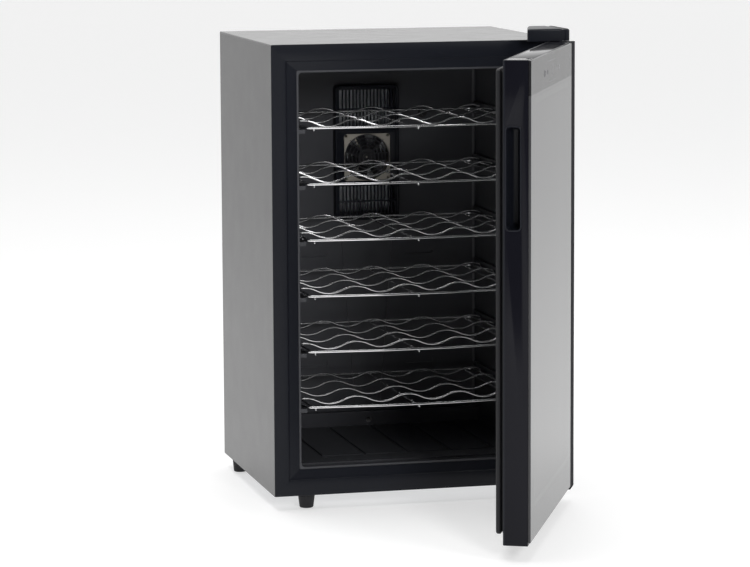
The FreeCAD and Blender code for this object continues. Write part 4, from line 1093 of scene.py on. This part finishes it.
class COOLER_OT_feet(bpy.types.Operator):
    """Turn the rubber feet and the threads of the levelling screws"""
    bl_idname = "cooler.feet"
    bl_label = "Feet"

    def execute(self, context):
        for side, body in (("left", "left_leveller"), ("right", "right_leveller")):
            low, high = corners("leveller_" + side)
            bm = turned(self.foot(13.5, 11.0) + self.thread(high.z))
            self.stand(bm, low, high)
            finish_piece("levelling_foot_" + side, bm, body, "rubber_black",
                         material("Soft rubber"), ("leveller_" + side,), sharp=40)
        low, high = corners("rear_feet")
        radius = 12.5
        bm = bmesh.new()
        for x in (low.x + radius, high.x - radius):
            part = turned(self.foot(radius, 10.5) + [(0.0, FOOT_HEIGHT)])
            bmesh.ops.translate(part, vec=(x, (low.y + high.y) / 2, 0), verts=part.verts)
            merge_in(bm, part)
        finish_piece("rear_foot_pads", bm, "cabinet", "rubber_black", material("Soft rubber"),
                     ("rear_feet",), sharp=40)
        return {"FINISHED"}

    def foot(self, top, bottom):
        """Outline of a tapered foot from the middle of its underside to its top edge."""
        height = FOOT_HEIGHT
        points = [(0.0, 0.9), (bottom - 6.5, 0.9), (bottom - 5.8, 0.0), (bottom - 2.6, 0.0)]
        for step in range(1, 6):
            turn = step / 5 * math.pi / 2
            points.append((bottom - 2.6 + 2.6 * math.sin(turn), 2.6 * (1 - math.cos(turn))))
        return points + [(top - 0.5, height - 3.6), (top - 0.9, height - 3.2),
                         (top - 0.4, height - 2.8), (top, height - 1.0), (top - 0.3, height - 0.2),
                         (top - 0.8, height)]

    def thread(self, end):
        """Ridges of the stud, from the foot's top to the stud's end."""
        points = [(4.0, FOOT_HEIGHT)]
        height = FOOT_HEIGHT + 0.6
        while height < end - 2.0:
            points += [(3.45, height), (4.0, height + 0.6)]
            height += 1.25
        return points + [(3.4, end - 0.8), (2.6, end), (0.0, end)]

    def stand(self, bm, low, high):
        middle = ((low.x + high.x) / 2, (low.y + high.y) / 2, 0)
        bmesh.ops.translate(bm, vec=middle, verts=bm.verts)


INLET_HEIGHT = 80.0
SLAT_PITCH = 9.0


class COOLER_OT_rear_unit(bpy.types.Operator):
    """Round the rear mouldings and set slanted louvres in their windows"""
    bl_idname = "cooler.rear_unit"
    bl_label = "Rear unit"

    def execute(self, context):
        refined("rear_cover", "Moulded black", 0.5)
        refined("drip_tray", "Grey plastic", 0.5)
        cover_low, cover_high = corners("rear_cover")
        grille_low, grille_high = corners("rear_grilles")
        fan_low, fan_high = corners("rear_fan_housing")
        fan_z = (fan_low.z + fan_high.z) / 2
        half = grille_high.z - fan_z
        bm = bmesh.new()
        self.louvres(bm, (-half, fan_z - half, half, grille_high.z), cover_high.y)
        wide = grille_high.x
        self.louvres(bm, (-wide, grille_low.z, wide, grille_low.z + INLET_HEIGHT), cover_high.y)
        finish_piece("rear_louvres", bm, "cabinet", "black_moulding", material("Moulded black"),
                     ("rear_grilles",), sharp=50)
        self.screws()
        return {"FINISHED"}

    def louvres(self, bm, rect, face):
        """A frame with slats tilted to shed dust."""
        rim = [(rect, 0.6, face - 2.0), (rect, 0.6, face - 0.3), (grown(rect, -0.4), 0.6, face),
               (grown(rect, -5.4), 2.0, face), (grown(rect, -5.8), 2.0, face - 0.4),
               (grown(rect, -5.8), 2.0, face - 2.0)]
        merge_in(bm, skin("y", rim, closed=True))
        left, low, right, high = grown(rect, -5.4)
        count = int((high - low) // SLAT_PITCH)
        first = (low + high) / 2 - (count - 1) * SLAT_PITCH / 2
        for i in range(count):
            z = first + i * SLAT_PITCH
            made = put_box(bm, (left - 0.5, face - 6.6, z - 0.9), (right + 0.5, face - 0.4, z + 0.9),
                           0.5, 2)
            bmesh.ops.rotate(bm, cent=(0, face - 0.6, z), matrix=Matrix.Rotation(0.6, 3, "X"),
                             verts=made)

    def screws(self):
        """Pan heads, one for each screw of the node."""
        bm = bmesh.new()
        for centre, face in shells("rear_screws"):
            part = turned([(0.0, 2.0), (1.6, 1.95), (2.6, 1.6), (3.3, 0.9), (3.5, 0.3), (3.5, 0.0)],
                          24)
            bmesh.ops.rotate(part, cent=(0, 0, 0), matrix=Matrix.Rotation(-math.pi / 2, 3, "X"),
                             verts=part.verts)
            bmesh.ops.translate(part, vec=(centre.x, face, centre.z), verts=part.verts)
            merge_in(bm, part)
        finish_piece("rear_screw_heads", bm, "cabinet", "plated_hardware",
                     material("Plated steel"), ("rear_screws",), sharp=40)


def shells(node):
    """Middle and lowest Y of each separate solid of a node, in millimetres."""
    bm = bmesh.new()
    bm.from_mesh(NODES[node].data)
    bmesh.ops.remove_doubles(bm, verts=bm.verts, dist=2e-6)
    left = set(bm.verts)
    found = []
    while left:
        group, queue = set(), [left.pop()]
        while queue:
            vert = queue.pop()
            group.add(vert)
            for edge in vert.link_edges:
                other = edge.other_vert(vert)
                if other in left:
                    left.discard(other)
                    queue.append(other)
        places = [v.co / MM for v in group]
        middle = sum(places, Vector()) / len(places)
        found.append((middle, min(p.y for p in places)))
    bm.free()
    return sorted(found, key=lambda item: (item[0].x, item[0].z))


class COOLER_OT_stage(bpy.types.Operator):
    """Set the camera, the pale floor and the soft light"""
    bl_idname = "cooler.stage"
    bl_label = "Stage"

    def execute(self, context):
        stage = context.scene.cooler_stage
        camera = bpy.data.objects.new("camera", bpy.data.cameras.new("camera"))
        context.scene.collection.objects.link(camera)
        camera.data.lens = stage.lens
        camera.data.clip_end = 200.0
        camera.location = stage.camera_place
        camera.rotation_mode = "XYZ"
        level = math.pi / 2 - stage.camera_dip
        aim = (Matrix.Rotation(-stage.camera_heading, 3, "Z") @ Matrix.Rotation(level, 3, "X")
               @ Matrix.Rotation(stage.camera_roll, 3, "Z"))
        camera.rotation_euler = aim.to_euler("XYZ")
        context.scene.camera = camera
        self.lay_floor(context, stage)
        self.light(context)
        context.scene.view_settings.view_transform = "Standard"
        return {"FINISHED"}

    def lay_floor(self, context, stage):
        bm = bmesh.new()
        bmesh.ops.create_circle(bm, cap_ends=True, radius=70.0, segments=64)
        mesh = bpy.data.meshes.new("floor")
        bm.to_mesh(mesh)
        bm.free()
        mesh.materials.append(finish("Pale floor", stage.floor, 0.6, specular=0.2, drift=0.01,
                                     depth=0.0))
        shader = mesh.materials[0].node_tree.nodes["Principled BSDF"]
        shader.inputs["Emission Color"].default_value = (1, 1, 1, 1)
        shader.inputs["Emission Strength"].default_value = stage.floor_glow
        floor = bpy.data.objects.new("floor", mesh)
        context.scene.collection.objects.link(floor)

    def light(self, context):
        world = bpy.data.worlds.new("studio")
        context.scene.world = world
        world.use_nodes = True
        tree = world.node_tree
        tree.nodes.clear()
        way = add(tree, "ShaderNodeTexCoord").outputs["Generated"]
        depth = add(tree, "ShaderNodeSeparateXYZ", {}, {0: way}).outputs["Y"]
        ramp = add(tree, "ShaderNodeMapRange", {"interpolation_type": "SMOOTHSTEP"},
                   {0: depth, 1: -0.4, 2: 0.6, 3: 0.10, 4: 1.4}).outputs[0]
        seen = add(tree, "ShaderNodeLightPath").outputs["Is Camera Ray"]
        strength = add(tree, "ShaderNodeMix", {}, {0: seen, 2: ramp, 3: 1.0}).outputs[0]
        lit = add(tree, "ShaderNodeBackground", {}, {"Strength": strength})
        out = tree.nodes.new("ShaderNodeOutputWorld")
        tree.links.new(lit.outputs[0], out.inputs[0])
        front = self.softbox(context, "front", (0.15, -4.4, 1.7), (0.0, 0.1, 0.4), 1.0, 100.0)
        front.visible_glossy = False
        self.softbox(context, "side", (2.2, -3.4, 3.0), (0.0, 0.1, 0.4), 1.6, 55.0)
        self.softbox(context, "overhead", (-0.4, 0.4, 4.0), (0.0, 0.2, 0.5), 3.0, 90.0)

    def softbox(self, context, name, place, target, size, power):
        lamp = bpy.data.lights.new(name, "AREA")
        lamp.shape = "DISK"
        lamp.size = size
        lamp.energy = power
        obj = bpy.data.objects.new(name, lamp)
        obj.location = place
        aim = Vector(target) - Vector(place)
        obj.rotation_euler = aim.to_track_quat("-Z", "Y").to_euler()
        context.scene.collection.objects.link(obj)
        return obj


class COOLER_PT_panel(bpy.types.Panel):
    """Sidebar panel with the settings and the steps"""
    bl_label = "Wine cooler"
    bl_space_type = "VIEW_3D"
    bl_region_type = "UI"
    bl_category = "Cooler"

    def draw(self, context):
        for settings in (context.scene.cooler_colours, context.scene.cooler_sizes,
                         context.scene.cooler_stage):
            for name in settings.bl_rna.properties.keys():
                if name not in {"rna_type", "name"}:
                    self.layout.prop(settings, name)
        for step in STEPS:
            self.layout.operator(step.bl_idname)


STEPS = [COOLER_OT_stage, COOLER_OT_base_finishes, COOLER_OT_shelves, COOLER_OT_front_frame,
         COOLER_OT_fan_cover, COOLER_OT_door_glass, COOLER_OT_door_frame,
         COOLER_OT_hinge_cover, COOLER_OT_feet, COOLER_OT_rear_unit]
SETTINGS = {"cooler_colours": CoolerColours, "cooler_sizes": CoolerSizes,
            "cooler_stage": CoolerStage}


def register():
    for name, group in SETTINGS.items():
        bpy.utils.register_class(group)
        setattr(bpy.types.Scene, name, PointerProperty(type=group))
    for step in STEPS:
        bpy.utils.register_class(step)
    bpy.utils.register_class(COOLER_PT_panel)


def unregister():
    bpy.utils.unregister_class(COOLER_PT_panel)
    for step in reversed(STEPS):
        bpy.utils.unregister_class(step)
    for name, group in SETTINGS.items():
        delattr(bpy.types.Scene, name)
        bpy.utils.unregister_class(group)


def main():
    register()
    for step in STEPS:
        getattr(bpy.ops.cooler, step.bl_idname.split(".")[1])()


if __name__ == "__main__":
    main()
